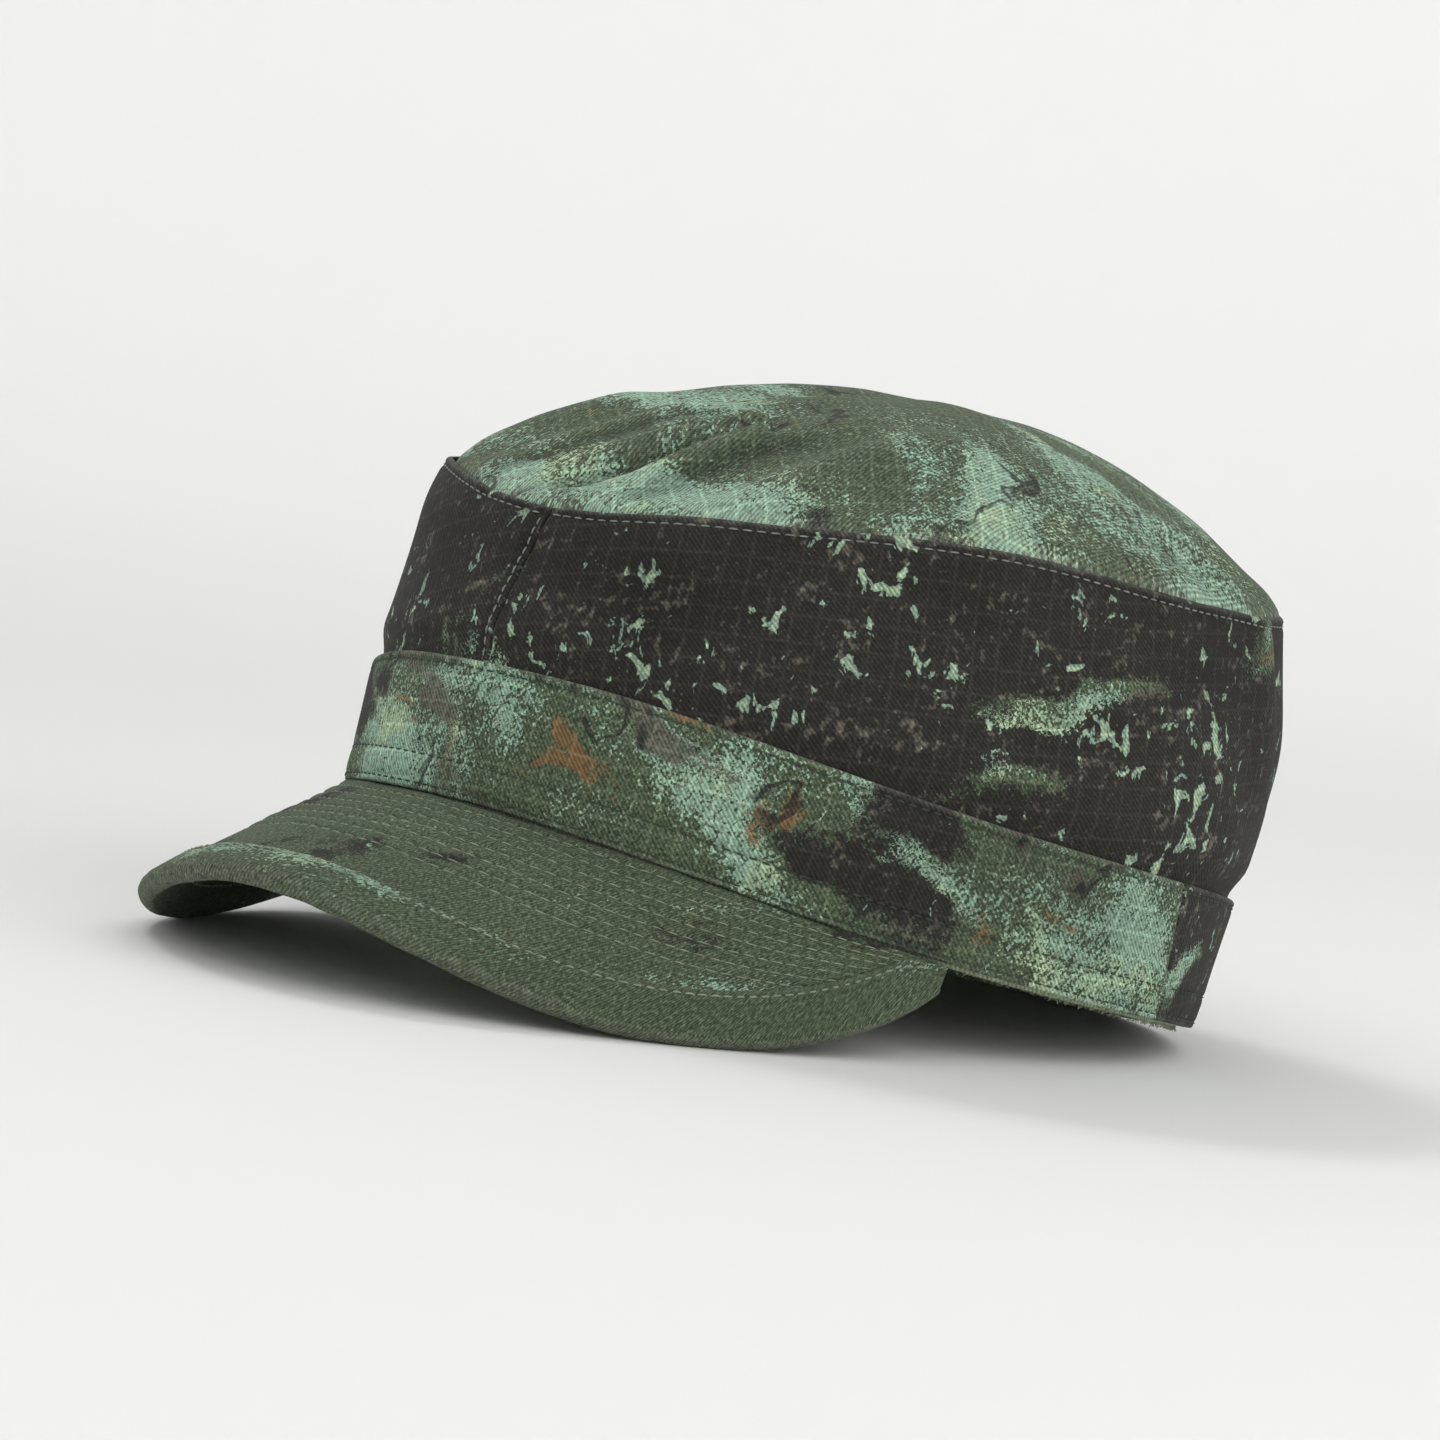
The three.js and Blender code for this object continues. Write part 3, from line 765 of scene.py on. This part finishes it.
def cloth_wear_and_shading():
    """Lightens cloth along its scuffed sewn edges and, as painted highlight, along crests; darkens it with
    painted shade in hollows.
    """
    w, given, out = group(
        "cloth wear",
        [("Colour", "colour"), ("Place", "vector"), ("Wear and painted shading", "value"), ("Shade", "value"), ("Fade", "value")],
        [("Colour", "colour")],
    )
    uneven = w.ramp(w.noise(given["Place"], 2.4, 3, 0.65), 0.3, 0.75)
    # Above 0 the cloth pales: scuffing on sewn edges, and painted highlight along the top's crests.
    paled = w.times(w.times(w.math("MAXIMUM", given["Wear and painted shading"], 0.0), given["Fade"]), uneven)
    # Below 0 the cloth darkens: painted shade in hollows and stitch grooves.
    painted_hollow_shade = w.times_plus(w.math("MINIMUM", given["Wear and painted shading"], 0.0), 0.6, 1.0)
    pale = w.blend(0.5, given["Colour"], srgb(176, 178, 166))
    lightened = w.blend(paled, given["Colour"], pale)
    tone = w.times_plus(w.less(given["Shade"], MIDDLE_SHADE), 3.0, 1.0)
    tone = w.times(w.math("MAXIMUM", tone, 0.3), painted_hollow_shade)
    grey = w.node("ShaderNodeCombineXYZ", {axis: tone for axis in "XYZ"}).outputs[0]
    w.join(w.blend(1.0, lightened, grey, "MULTIPLY"), out["Colour"])
    return w.tree


WEAVE = ripstop_weave()
PRINT = woodland_print()
WEAR_AND_SHADING = cloth_wear_and_shading()


def new_material(name):
    material = bpy.data.materials.new(name)
    material.use_nodes = True
    return material, Wiring(material.node_tree), material.node_tree.nodes["Principled BSDF"]


def cloth_material(name, shift, angle, shares, weave_angle=0, thread=0.54, grid=5.2, grid_strength=0.5,
                   plain=None, paling=0.5, bump=0.6):
    """Printed cotton. The shares say how much lichen, bark, rust and flecks the print has."""
    material, w, shader = new_material(name)
    cloth = w.node("ShaderNodeUVMap", uv_map=CLOTH_MAP).outputs[0]
    # Scuffing and painted shade of each mesh, turned into colour by the group below.
    worn_and_shaded = w.node("ShaderNodeAttribute", attribute_name="wear_and_painted_shading").outputs["Fac"]
    weave = w.node("ShaderNodeGroup", {
        "Place": w.place_of(cloth, angle=weave_angle),
        "Thread": thread,
        "Grid": grid,
        "Grid strength": grid_strength,
    }, node_tree=WEAVE).outputs
    colour = w.node("ShaderNodeGroup", {
        "Place": w.place_of(cloth, shift, angle),
        **dict(zip(("Lichen", "Bark", "Rust", "Fleck"), shares)),
    }, node_tree=PRINT).outputs["Colour"]
    if plain:
        share, tint = plain
        colour = w.blend(share, colour, tint)
    finished = w.node("ShaderNodeGroup", {
        "Colour": colour,
        "Place": cloth,
        "Wear and painted shading": worn_and_shaded,
        "Shade": weave["Shade"],
        "Fade": paling,
    }, node_tree=WEAR_AND_SHADING).outputs["Colour"]
    w.feed(shader, {
        "Base Color": finished,
        "Roughness": w.times_plus(weave["Shade"], 0.16, 0.8),
        "Normal": w.bump(weave["Height"], bump, 0.12),
        "Specular IOR Level": 0.15,
        "Sheen Weight": 0.03,
        "Sheen Roughness": 0.5,
    })
    return material


def thread_material(name, colour):
    material, w, shader = new_material(name)
    cloth = w.node("ShaderNodeUVMap", uv_map=CLOTH_MAP).outputs[0]
    uneven = w.ramp(w.noise(cloth, 1.8, 2), 0.3, 0.7)
    darker = (*(c * 0.6 for c in colour[:3]), 1.0)
    ply = w.noise(w.place_of(cloth, (0, 0, 0), 35, (1, 4, 1)), 0.7, 1)
    w.feed(shader, {
        "Base Color": w.blend(uneven, darker, colour),
        "Roughness": w.times_plus(uneven, 0.2, 0.6),
        "Normal": w.bump(ply, 0.5, 0.1),
    })
    return material


TOP_CLOTH = cloth_material("top cloth", (20, 35, 0), 12, (0.36, 0.02, -0.25, 0.4), weave_angle=38)
SIDE_CLOTH = cloth_material("side cloth", (210, 70, 0), -20, (0.4, 0.95, 0.0, 0.8), weave_angle=-12)
BAND_CLOTH = cloth_material("band cloth", (330, 140, 0), 24, (0.4, 0.2, 0.03, 0.6), weave_angle=-3)
VISOR_CLOTH = cloth_material("visor cloth", (60, 260, 0), 40, (-0.05, 0.1, -0.4, 0.6), weave_angle=30,
                             grid_strength=0.12)
# The underside is blended towards a plain pale sage: its plainer print is the cloth's own, its extra
# lightness is painted light, as if lit from the floor below.
UNDER_CLOTH = cloth_material("visor underside", (160, 320, 0), 10, (0.1, 0, 0, 0.4), grid_strength=0.1,
                             plain=(0.55, srgb(128, 140, 118)))
BINDING_CLOTH = cloth_material("binding cloth", (15, 420, 0), 0, (0.0, -0.2, -0.4, 0.4), weave_angle=10,
                               thread=0.46, grid_strength=0.0, bump=0.9)
SWEATBAND_CLOTH = cloth_material("sweatband cloth", (0, 500, 0), 0, (0.9, 0, 0, 0), grid_strength=0.1,
                                 plain=(0.7, srgb(158, 176, 142)), paling=0.9)
PALE_THREAD = thread_material("pale thread", srgb(150, 156, 146))
MOSS_THREAD = thread_material("moss thread", srgb(58, 74, 60))
FIBRE_THREAD = thread_material("fibre", srgb(176, 186, 152))
SAGE_THREAD = thread_material("sage thread", srgb(158, 166, 142))


# Crown

def even_columns(start, end, step, ends=(0.0, 0.12, 0.3, 0.55, 0.8, 1.2)):
    """Angles from start to end, closer together at both ends, where the cloth turns in."""
    near = np.array(ends) / AROUND_MM * 360
    middle = np.linspace(start + near[-1], end - near[-1], max(2, round((end - start) / step)))
    return np.concatenate([start + near[:-1], middle, end - near[-2::-1]])


COLUMN_STEP = 0.72  # degrees between the columns of the crown's cloths


def end_distances(angles):
    """Length of cloth from each angle to the nearer end of its piece."""
    return np.minimum(along_crown(angles - angles[0]), along_crown(angles[-1] - angles))[:, None]


# Rows of the side panels by their distance below the top seam, close together over its fold and its stitches
PANEL_HEAD_ROWS = np.array([
    0, 0.1, 0.25, 0.45, 0.7, 0.95, 1.25, 1.6, 1.9, 2.2, 2.6, 3.2, *np.arange(4, 16, 1.2),
])
PANEL_LOWER_ROWS = 45


def make_side_panel(name, start, node):
    trim = GAP / AROUND_MM * 180
    angles = even_columns(start + trim, start + 180 - trim, COLUMN_STEP)
    from_end = end_distances(angles)
    angle = angles[:, None]
    full = panel_height(angle)
    lower = np.linspace(1, 0, PANEL_LOWER_ROWS + 1)[1:]
    rest = (full - PANEL_HEAD_ROWS[-1]) * lower
    height = np.concatenate([full - PANEL_HEAD_ROWS, rest], axis=1)[:, ::-1]
    outside = side_surface(angle, height, from_end)
    # Behind a rounded edge the inside face keeps its full depth
    flat = side_depth(angle, height, from_end) - side_edge(angle, height, from_end)
    inside = layer_point(angle, height / full, flat + PANEL)
    paled = np.clip(1.1 * bell(full - height, 1.1) + 0.5 * bell(from_end, 0.9), 0, 1)
    # Painted shade: darker where the cloth lies deeper, in the hollows of its folds and in the stitch groove;
    # its sewn edges are lightened by scuffing.
    wear_and_painted_shading = paled - np.clip(0.9 * (flat - panel_swell(angle, height)), 0, 0.8)
    places = stacked(along_crown(angle), height)
    return sew_wall(name, outside, inside, places, SIDE_CLOTH, wear_and_painted_shading, "side_cloth", node)


make_side_panel("side_cloth_left", FRONT_SEAM, "side_panel_left")
make_side_panel("side_cloth_right", FRONT_SEAM - 180, "side_panel_right")


TOP_REACH = 88  # length from the middle of the top to its edge
TOP_INNER_ROWS = 61


def make_top():
    """Rings of points round a middle point, above and below, closed at the edge."""
    columns = 320
    near = np.array([0, 0.1, 0.25, 0.45, 0.7, 1.0, 1.4, 2.0, 2.8, 3.8]) / TOP_REACH
    shares = np.unique(np.concatenate([np.linspace(0, 1 - near[-1], TOP_INNER_ROWS + 1)[1:], 1 - near]))
    angle = np.linspace(0, 360, columns, endpoint=False)[:, None]
    share = np.broadcast_to(shares, (columns, len(shares)))
    angle = np.broadcast_to(angle, share.shape)
    from_edge = (1 - share) * TOP_REACH
    above = top_surface(angle, share)
    below = top_surface(angle, share, PANEL) + stacked(0, 0, rounded(from_edge, FOLD_RADIUS))
    zero = np.zeros((1, 1))
    sheets = [top_surface(zero, zero), top_surface(zero, zero, PANEL), above, below]
    points = np.concatenate([sheet.reshape(-1, 3) for sheet in sheets])
    rings = len(shares)

    def at(side, column, ring):
        return 2 + (side * columns + column % columns) * rings + ring

    column, ring = np.meshgrid(np.arange(columns), np.arange(rings - 1), indexing="ij")
    nxt, out = column + 1, ring + 1
    c = np.arange(columns)
    last = rings - 1
    walls = quads(
        [at(0, column, ring), at(0, column, out), at(0, nxt, out), at(0, nxt, ring)],
        [at(1, column, ring), at(1, nxt, ring), at(1, nxt, out), at(1, column, out)],
        [at(0, c, last), at(1, c, last), at(1, c + 1, last), at(0, c + 1, last)],
    )
    faces = walls.tolist()
    faces += [[0, int(a), int(b)] for a, b in zip(at(0, c, 0), at(0, c + 1, 0))]
    faces += [[1, int(b), int(a)] for a, b in zip(at(1, c, 0), at(1, c + 1, 0))]
    # Painted light: the creases' crests are painted lighter and their hollows darker, besides the scuffing
    # along the sewn edge.
    crease = fold_height(above[..., 0], above[..., 1], TOP_CREASES)
    worn_and_shaded = np.clip(bell(from_edge, 1.4) + np.clip(0.5 * crease, -1, 0.5), -1, 1)
    wear_and_painted_shading = np.concatenate([[0, 0], np.tile(worn_and_shaded.ravel(), 2)])
    sew("top_cloth", points, faces, points[:, :2], faces, TOP_CLOTH, wear_and_painted_shading, "top_panel")


make_top()


# Rows of the band, close together over its folds and stitches: distances from its lower and its upper edge
BAND_FOOT_ROWS = np.array([
    0, 0.1, 0.25, 0.5, 0.8, 1.1, 1.3, 1.6, 2.0, 2.6, 3.4, 4.2, 5.0, 5.8, 6.3, 6.7, 7.0, 7.3, 7.7, 8.3,
])
BAND_HEAD_ROWS = np.array([0, 0.1, 0.25, 0.5, 0.8, 1.1, 1.4, 1.7, 2.0, 2.4, 3.0, 3.8])
BAND_MIDDLE_ROWS = 16


def make_band(name, material, slot, node, start, end):
    """A length of the band from one slanted joint to the other, each an angle at the rim and at the top."""
    columns = even_columns(0, end[0] - start[0], COLUMN_STEP)
    from_end = end_distances(columns)
    share = (columns / columns[-1])[:, None]
    full = band_height(mix(sum(start) / 2, sum(end) / 2, share))
    span = full - BAND_FOOT_ROWS[-1] - BAND_HEAD_ROWS[-1]
    height = np.concatenate([
        np.broadcast_to(BAND_FOOT_ROWS, (len(columns), len(BAND_FOOT_ROWS))),
        BAND_FOOT_ROWS[-1] + span * np.linspace(0, 1, BAND_MIDDLE_ROWS + 2)[1:-1],
        full - BAND_HEAD_ROWS[::-1],
    ], axis=1)
    level = height / full
    angle = mix(mix(*start, level), mix(*end, level), share)
    outside = band_surface(angle, height, from_end)
    flat = band_depth(angle, height, from_end) - band_edge(angle, height, from_end)
    inside = layer_point(angle, height / panel_height(angle), flat + BAND)
    below = band_height(angle) - height
    paled = np.clip(bell(below, 0.9) + bell(height, 0.9) + 0.5 * bell(from_end, 0.8), 0, 1)
    # Painted shade: darker where the band lies deeper, in its hollows and stitch grooves; its edges are
    # lightened by scuffing.
    wear_and_painted_shading = paled - np.clip(1.1 * flat, 0, 0.8)
    places = stacked(along_crown(angle), height)
    sew_wall(name, outside, inside, places, material, wear_and_painted_shading, slot, node)


HALF_JOINT = GAP / AROUND_MM * 180
FRONT_ENDS = (HALF_JOINT - BAND_JOINT, BAND_JOINT - HALF_JOINT)
BACK_ENDS = (BAND_JOINT + HALF_JOINT, 360 - BAND_JOINT - HALF_JOINT)
make_band("band_cloth_front", BAND_CLOTH, "band_cloth", "band_front", *FRONT_ENDS)
make_band("band_cloth_back", SIDE_CLOTH, "side_cloth", "band_back", *BACK_ENDS)


RAW_EDGE_RADIUS = 0.8


def make_sweatband():
    columns = 420
    angle = np.linspace(0, 360, columns + 1)[:, None]
    rise = spaced(0, SWEATBAND_HEIGHT, 1.6, 1.0, 6.5)
    rough = ruffles(angle, rise, (0.35, 60, 3, 41)) * bell(rise, 2.5)
    depth = SWEATBAND_DEPTH + rough + ruffles(angle, rise, (0.25, 40, 9, 42))
    from_edge = np.minimum(rise, SWEATBAND_HEIGHT - rise)
    height = rise - SWEATBAND_DROP
    level = height / panel_height(angle)
    outside = layer_point(angle, level, depth + rounded(from_edge, RAW_EDGE_RADIUS))
    inside = layer_point(angle, level, depth + SWEATBAND)
    places = stacked(along_crown(angle), height)
    wear_and_painted_shading = np.broadcast_to(bell(rise, 1.2), places.shape[:2])
    sew_wall("sweatband_cloth", outside, inside, places, SWEATBAND_CLOTH, wear_and_painted_shading, "sweatband_cloth",
             "sweatband", ring=True)


make_sweatband()

FIBRES = 1300
FIBRE_LENGTH = 1.1


def fray_sweatband():
    """Loose fibres along the sweatband's raw lower edge, each a short thread of its own."""
    chance = np.random.default_rng(61)

    def draw(low, high):
        return chance.uniform(low, high, FIBRES)

    angle = draw(0, 360)
    depth = SWEATBAND_DEPTH + draw(0, 0.7)
    root = layer_point(angle, (draw(0, 1) - SWEATBAND_DROP) / panel_height(angle), depth)
    fall = stacked(draw(-1, 1), draw(-1, 1), -draw(0.5, 1.2))
    tip = root + unit(fall) * FIBRE_LENGTH
    outward = crown_normal(angle, np.zeros_like(angle))
    fibres = [(np.stack([a, b]), np.stack([n, n])) for a, b, n in zip(root, tip, outward)]
    sew_stitches("sweatband_fray", fibres, FIBRE_THREAD, length=0.95 * FIBRE_LENGTH,
                 pitch=0.98 * FIBRE_LENGTH, thickness=0.2)


fray_sweatband()


# Visor

def visor_columns(count):
    """Angles from corner to corner, closer together towards the corners."""
    return VISOR_SHARE * HALF_SPREAD * np.sin((np.arange(count + 1) / count - 0.5) * np.pi)


def make_visor_cloth(name, material, node, near, far):
    angle = visor_columns(220)[:, None]
    lines = [row * VISOR_LENGTH for row in VISOR_ROW_REACH]
    reach = spaced(0, VISOR_LENGTH, 1.6, *lines) / VISOR_LENGTH
    reach = np.broadcast_to(reach, (len(angle), len(reach)))
    angle = np.broadcast_to(angle, reach.shape)
    sheets = (visor_surface(angle, reach, depth) for depth in (near, far))
    places = stacked(along_crown(angle) * (1 + 0.2 * reach), visor_length(angle) * reach)
    wear_and_painted_shading = np.zeros_like(reach)
    sew_wall(name, *sheets, places, material, wear_and_painted_shading, "visor_cloth", node, turned=True)


make_visor_cloth("visor_cloth_upper", VISOR_CLOTH, "visor_top", 0.0, VISOR)
make_visor_cloth("visor_cloth_lower", UNDER_CLOTH, "visor_under", VISOR + GAP, VISOR_THICKNESS)

BINDING_GAP = 0.15
BINDING_STITCH = 1.4  # distance of the stitches from the binding's inner edge
NOSE_SHARE = 0.62  # how far the binding's nose stands out, of a full half round


def binding_frame(angle):
    """Inner reach and outward direction of the binding at each angle."""
    ones = np.ones_like(angle)
    rib = unit(visor_point(angle, ones) - visor_point(angle, np.zeros_like(angle)))
    edge = unit(visor_point(angle + 0.5, ones) - visor_point(angle - 0.5, ones))
    square = np.maximum(np.linalg.norm(np.cross(edge, rib), axis=-1), 0.25)
    inner = np.maximum(1 - BINDING_WIDTH / (visor_length(angle) * square), 0.12)
    outward = unit(np.cross(visor_normal(angle, ones), edge))
    facing = np.sign(np.sum(outward * rib, axis=-1, keepdims=True))
    return inner, outward * facing


def make_binding():
    angle = visor_columns(240)
    inner, outward = binding_frame(angle)
    high = BINDING_GAP + BINDING
    low = VISOR_THICKNESS + BINDING_GAP + BINDING
    middle = (low - high) / 2
    radius = (low + high) / 2
    # The outer skin from the upper inner edge round the nose to the lower inner edge, then back inside
    flange = np.array([1, 0.99, 0.975, 0.95, 0.91, 0.86, 0.82, 0.76, 0.65, 0.5, 0.35, 0.2, 0.08, 0])
    from_hem = BINDING_WIDTH - flange * BINDING_WIDTH
    dips = rounded(from_hem, 0.75) + pressed(from_hem - BINDING_STITCH, 0.22)
    nose = np.radians(np.linspace(90, -90, 15))[1:-1]
    lining = (1, 0.6, 0.25, 0)
    section = [(share, -high + dip, 0.0) for share, dip in zip(flange, dips)]
    section += [(0, middle - radius * math.sin(a), radius * math.cos(a) * NOSE_SHARE) for a in nose]
    section += [(share, low - dip, 0.0) for share, dip in zip(flange[::-1], dips[::-1])]
    section += [(share, low - BINDING, 0.0) for share in lining]
    section += [(0, low - BINDING, GAP), (0, -high + BINDING, GAP)]
    section += [(share, -high + BINDING, 0.0) for share in lining[::-1]]
    section = np.array(section)
    ripple = 0.12 * ruffle(angle / 2.2, 0, 51) + 0.15 * ruffle(angle / 6, 0, 52)
    share, depth, out = section.T
    reach = 1 - share * (1 - inner[:, None])
    a = np.broadcast_to(angle[:, None], reach.shape)
    half = 2 * len(flange) + len(nose)
    outer_half = np.arange(len(section)) < half
    lift = depth + ripple[:, None] * outer_half * np.where(depth < middle, 1, -1)
    skin = visor_point(a, reach) - visor_normal(a, reach) * lift[..., None]
    points = skin + outward[:, None] * out[:, None]
    count, size = points.shape[:2]
    column, spot = np.meshgrid(np.arange(count - 1) * size, np.arange(size), indexing="ij")
    after = (spot + 1) % size
    faces = quads([column + spot, column + after, column + size + after, column + size + spot]).tolist()
    inside = size - half
    last = (count - 1) * size
    # Each end is closed strip by strip between the outer skin and the nearest point of the inner one
    partner = [size - 1 - round(k / (half - 1) * (inside - 1)) for k in range(half)]
    for k in range(half - 1):
        ends = list(dict.fromkeys([k, partner[k], partner[k + 1], k + 1]))
        faces.append(ends)
        faces.append([last + e for e in ends[::-1]])
    places = stacked(length_along(points[:, 0])[:, None], length_along(points[count // 2])).reshape(-1, 2)
    paled = np.clip(bell(share * BINDING_WIDTH - BINDING_WIDTH, 0.7) + 0.8 * (out > 0.4), 0, 1)
    wear_and_painted_shading = np.broadcast_to(paled, (count, size)).ravel()
    sew("binding_cloth", points.reshape(-1, 3), faces, places, faces, BINDING_CLOTH, wear_and_painted_shading,
        "visor_binding")


make_binding()


# Stitching

INWARD = 99.0  # a distance from the ends at which they shape the cloth no more


def crown_seam(surface, angles, heights, from_end=INWARD):
    """Points and normals along a line of stitches on the crown."""
    points = surface(angles, heights, np.full_like(angles, from_end))
    return points, crown_normal(angles, heights / panel_height(angles))


def stitch_crown():
    angles = np.linspace(FRONT_SEAM + 0.8, FRONT_SEAM + 359.2, 1400)
    line = crown_seam(side_surface, angles, panel_height(angles) - SIDE_TOPSTITCH)
    sew_stitches("top_seam_stitches", [line], PALE_THREAD, thickness=0.34)
    seams = []
    for middle in (FRONT_SEAM, FRONT_SEAM + 180):
        rise = np.linspace(band_height(middle) + 1, panel_height(middle) - 2.4, 120)
        seams.append(crown_seam(side_surface, np.full_like(rise, middle - 1.0), rise, 1.7))
    sew_stitches("side_seam_stitches", seams, PALE_THREAD, length=1.9, pitch=2.2, thickness=0.36)


def stitch_band():
    lines = []
    for start, end in (FRONT_ENDS, BACK_ENDS):
        for height, at_top in ((BAND_LOWER_STITCH, 0), (BAND_EDGE_STITCH, 0), (BAND_UPPER_STITCH, 1)):
            angles = np.linspace(start[at_top] + 0.9, end[at_top] - 0.9, 900)
            heights = band_height(angles) - height if at_top else np.full_like(angles, height)
            lines.append(crown_seam(band_surface, angles, heights))
    sew_stitches("band_stitches", lines, MOSS_THREAD)


def stitch_visor():
    spread = 0.93 * HALF_SPREAD
    angles = np.linspace(-spread, spread, 700)
    rows = [np.full_like(angles, reach) for reach in VISOR_ROW_REACH]
    above = [(visor_surface(angles, row), visor_normal(angles, row)) for row in rows]
    below = [(visor_surface(angles, row, VISOR_THICKNESS), -visor_normal(angles, row)) for row in rows]
    for name, seams in (("visor_row_stitches", above), ("visor_under_stitches", below)):
        sew_stitches(name, seams, SAGE_THREAD, length=2.6, pitch=3.1, thickness=0.27)


def stitch_binding():
    spread = 0.95 * HALF_SPREAD
    angles = np.linspace(-spread, spread, 700)
    inner, _ = binding_frame(angles)
    reach = inner + (1 - inner) * (BINDING_STITCH / BINDING_WIDTH)
    normal = visor_normal(angles, reach)
    upper = visor_point(angles, reach) + normal * (BINDING_GAP + BINDING - 0.2)
    lower = visor_point(angles, reach) - normal * (VISOR_THICKNESS + BINDING_GAP + BINDING - 0.2)
    sew_stitches("binding_stitches", [(upper, normal), (lower, -normal)], SAGE_THREAD)


stitch_crown()
stitch_band()
stitch_visor()
stitch_binding()


# Stage, light and camera

def make_stage():
    """A round pale floor whose rim sweeps up into the backdrop, so that no horizon shows."""
    flat, sweep, tall = 2.2, 1.0, 2.5
    bends = np.radians(np.linspace(0, 90, 13))
    profile = [(0.0, 0.0), (flat, 0.0)]
    profile += [(flat + sweep * math.sin(b), sweep * (1 - math.cos(b))) for b in bends[1:]]
    profile.append((flat + sweep, sweep + tall))
    columns = 72
    size = len(profile)
    points, faces = [], []
    for k in range(columns):
        a = 2 * math.pi * k / columns
        points += [(r * math.cos(a), r * math.sin(a), z) for r, z in profile]
        here, there = k * size, (k + 1) % columns * size
        faces += [(here + i, there + i, there + i + 1, here + i + 1) for i in range(size - 1)]
    mesh = bpy.data.meshes.new("stage")
    mesh.from_pydata(points, [], faces)
    mesh.polygons.foreach_set("use_smooth", np.ones(len(faces), bool))
    paper, w, shader = new_material("pale paper")
    w.feed(shader, {"Base Color": (0.9, 0.9, 0.89, 1), "Roughness": 0.9})
    mesh.materials.append(paper)
    stage = put("stage", mesh)


def broad_light(name, direction, softness, strength):
    """Even light over the whole stage from one side, as from a large soft box; softness is in degrees."""
    light = bpy.data.lights.new(name, "SUN")
    light.angle = math.radians(softness)
    light.energy = strength
    lamp = put(name, light)
    lamp.rotation_mode = "QUATERNION"
    lamp.rotation_quaternion = (-Vector(direction)).to_track_quat("-Z", "Y")


make_stage()
broad_light("key", (-1.0, 0.15, 0.95), 22, 2.1)
broad_light("front", (0.35, -1.0, 0.5), 60, 1.3)
broad_light("side", (1.0, 0.1, 0.7), 60, 0.5)
world = bpy.data.worlds.new("studio")
world.use_nodes = True
Wiring(world.node_tree).feed(world.node_tree.nodes["Background"], {"Color": (1, 1, 1, 1), "Strength": 0.6})
bpy.context.scene.world = world
bpy.context.scene.view_settings.view_transform = "Standard"

# The camera, placed about the cap in the cap's own frame
CAMERA_AZIMUTH = math.radians(39.12)
CAMERA_ELEVATION = math.radians(-3.88)
CAMERA_ROLL = math.radians(15.18)
CAMERA_DISTANCE = 900.9
CAMERA_TARGET = Vector((0, -29.7, 35.06))
SENSOR = 36.0
FOCAL_PIXELS = 4418.05
PHOTO_PIXELS = 1440
LENS = SENSOR * FOCAL_PIXELS / PHOTO_PIXELS


def make_camera():
    aim = (
        Matrix.Rotation(-REST_PITCH, 3, "X")
        @ Matrix.Rotation(CAMERA_AZIMUTH, 3, "Z")
        @ Matrix.Rotation(math.pi / 2 - CAMERA_ELEVATION, 3, "X")
        @ Matrix.Rotation(CAMERA_ROLL, 3, "Z")
    )
    place = Matrix(TILT.tolist()) @ CAMERA_TARGET + CAMERA_DISTANCE * aim.col[2] + Vector(REST_SHIFT)
    lens = bpy.data.cameras.new("camera")
    lens.sensor_width = SENSOR
    lens.lens = LENS
    lens.clip_start = 0.05
    lens.clip_end = 20
    camera = put("camera", lens)
    camera.matrix_world = Matrix.Translation(place * MM) @ aim.to_4x4()
    bpy.context.scene.camera = camera


make_camera()
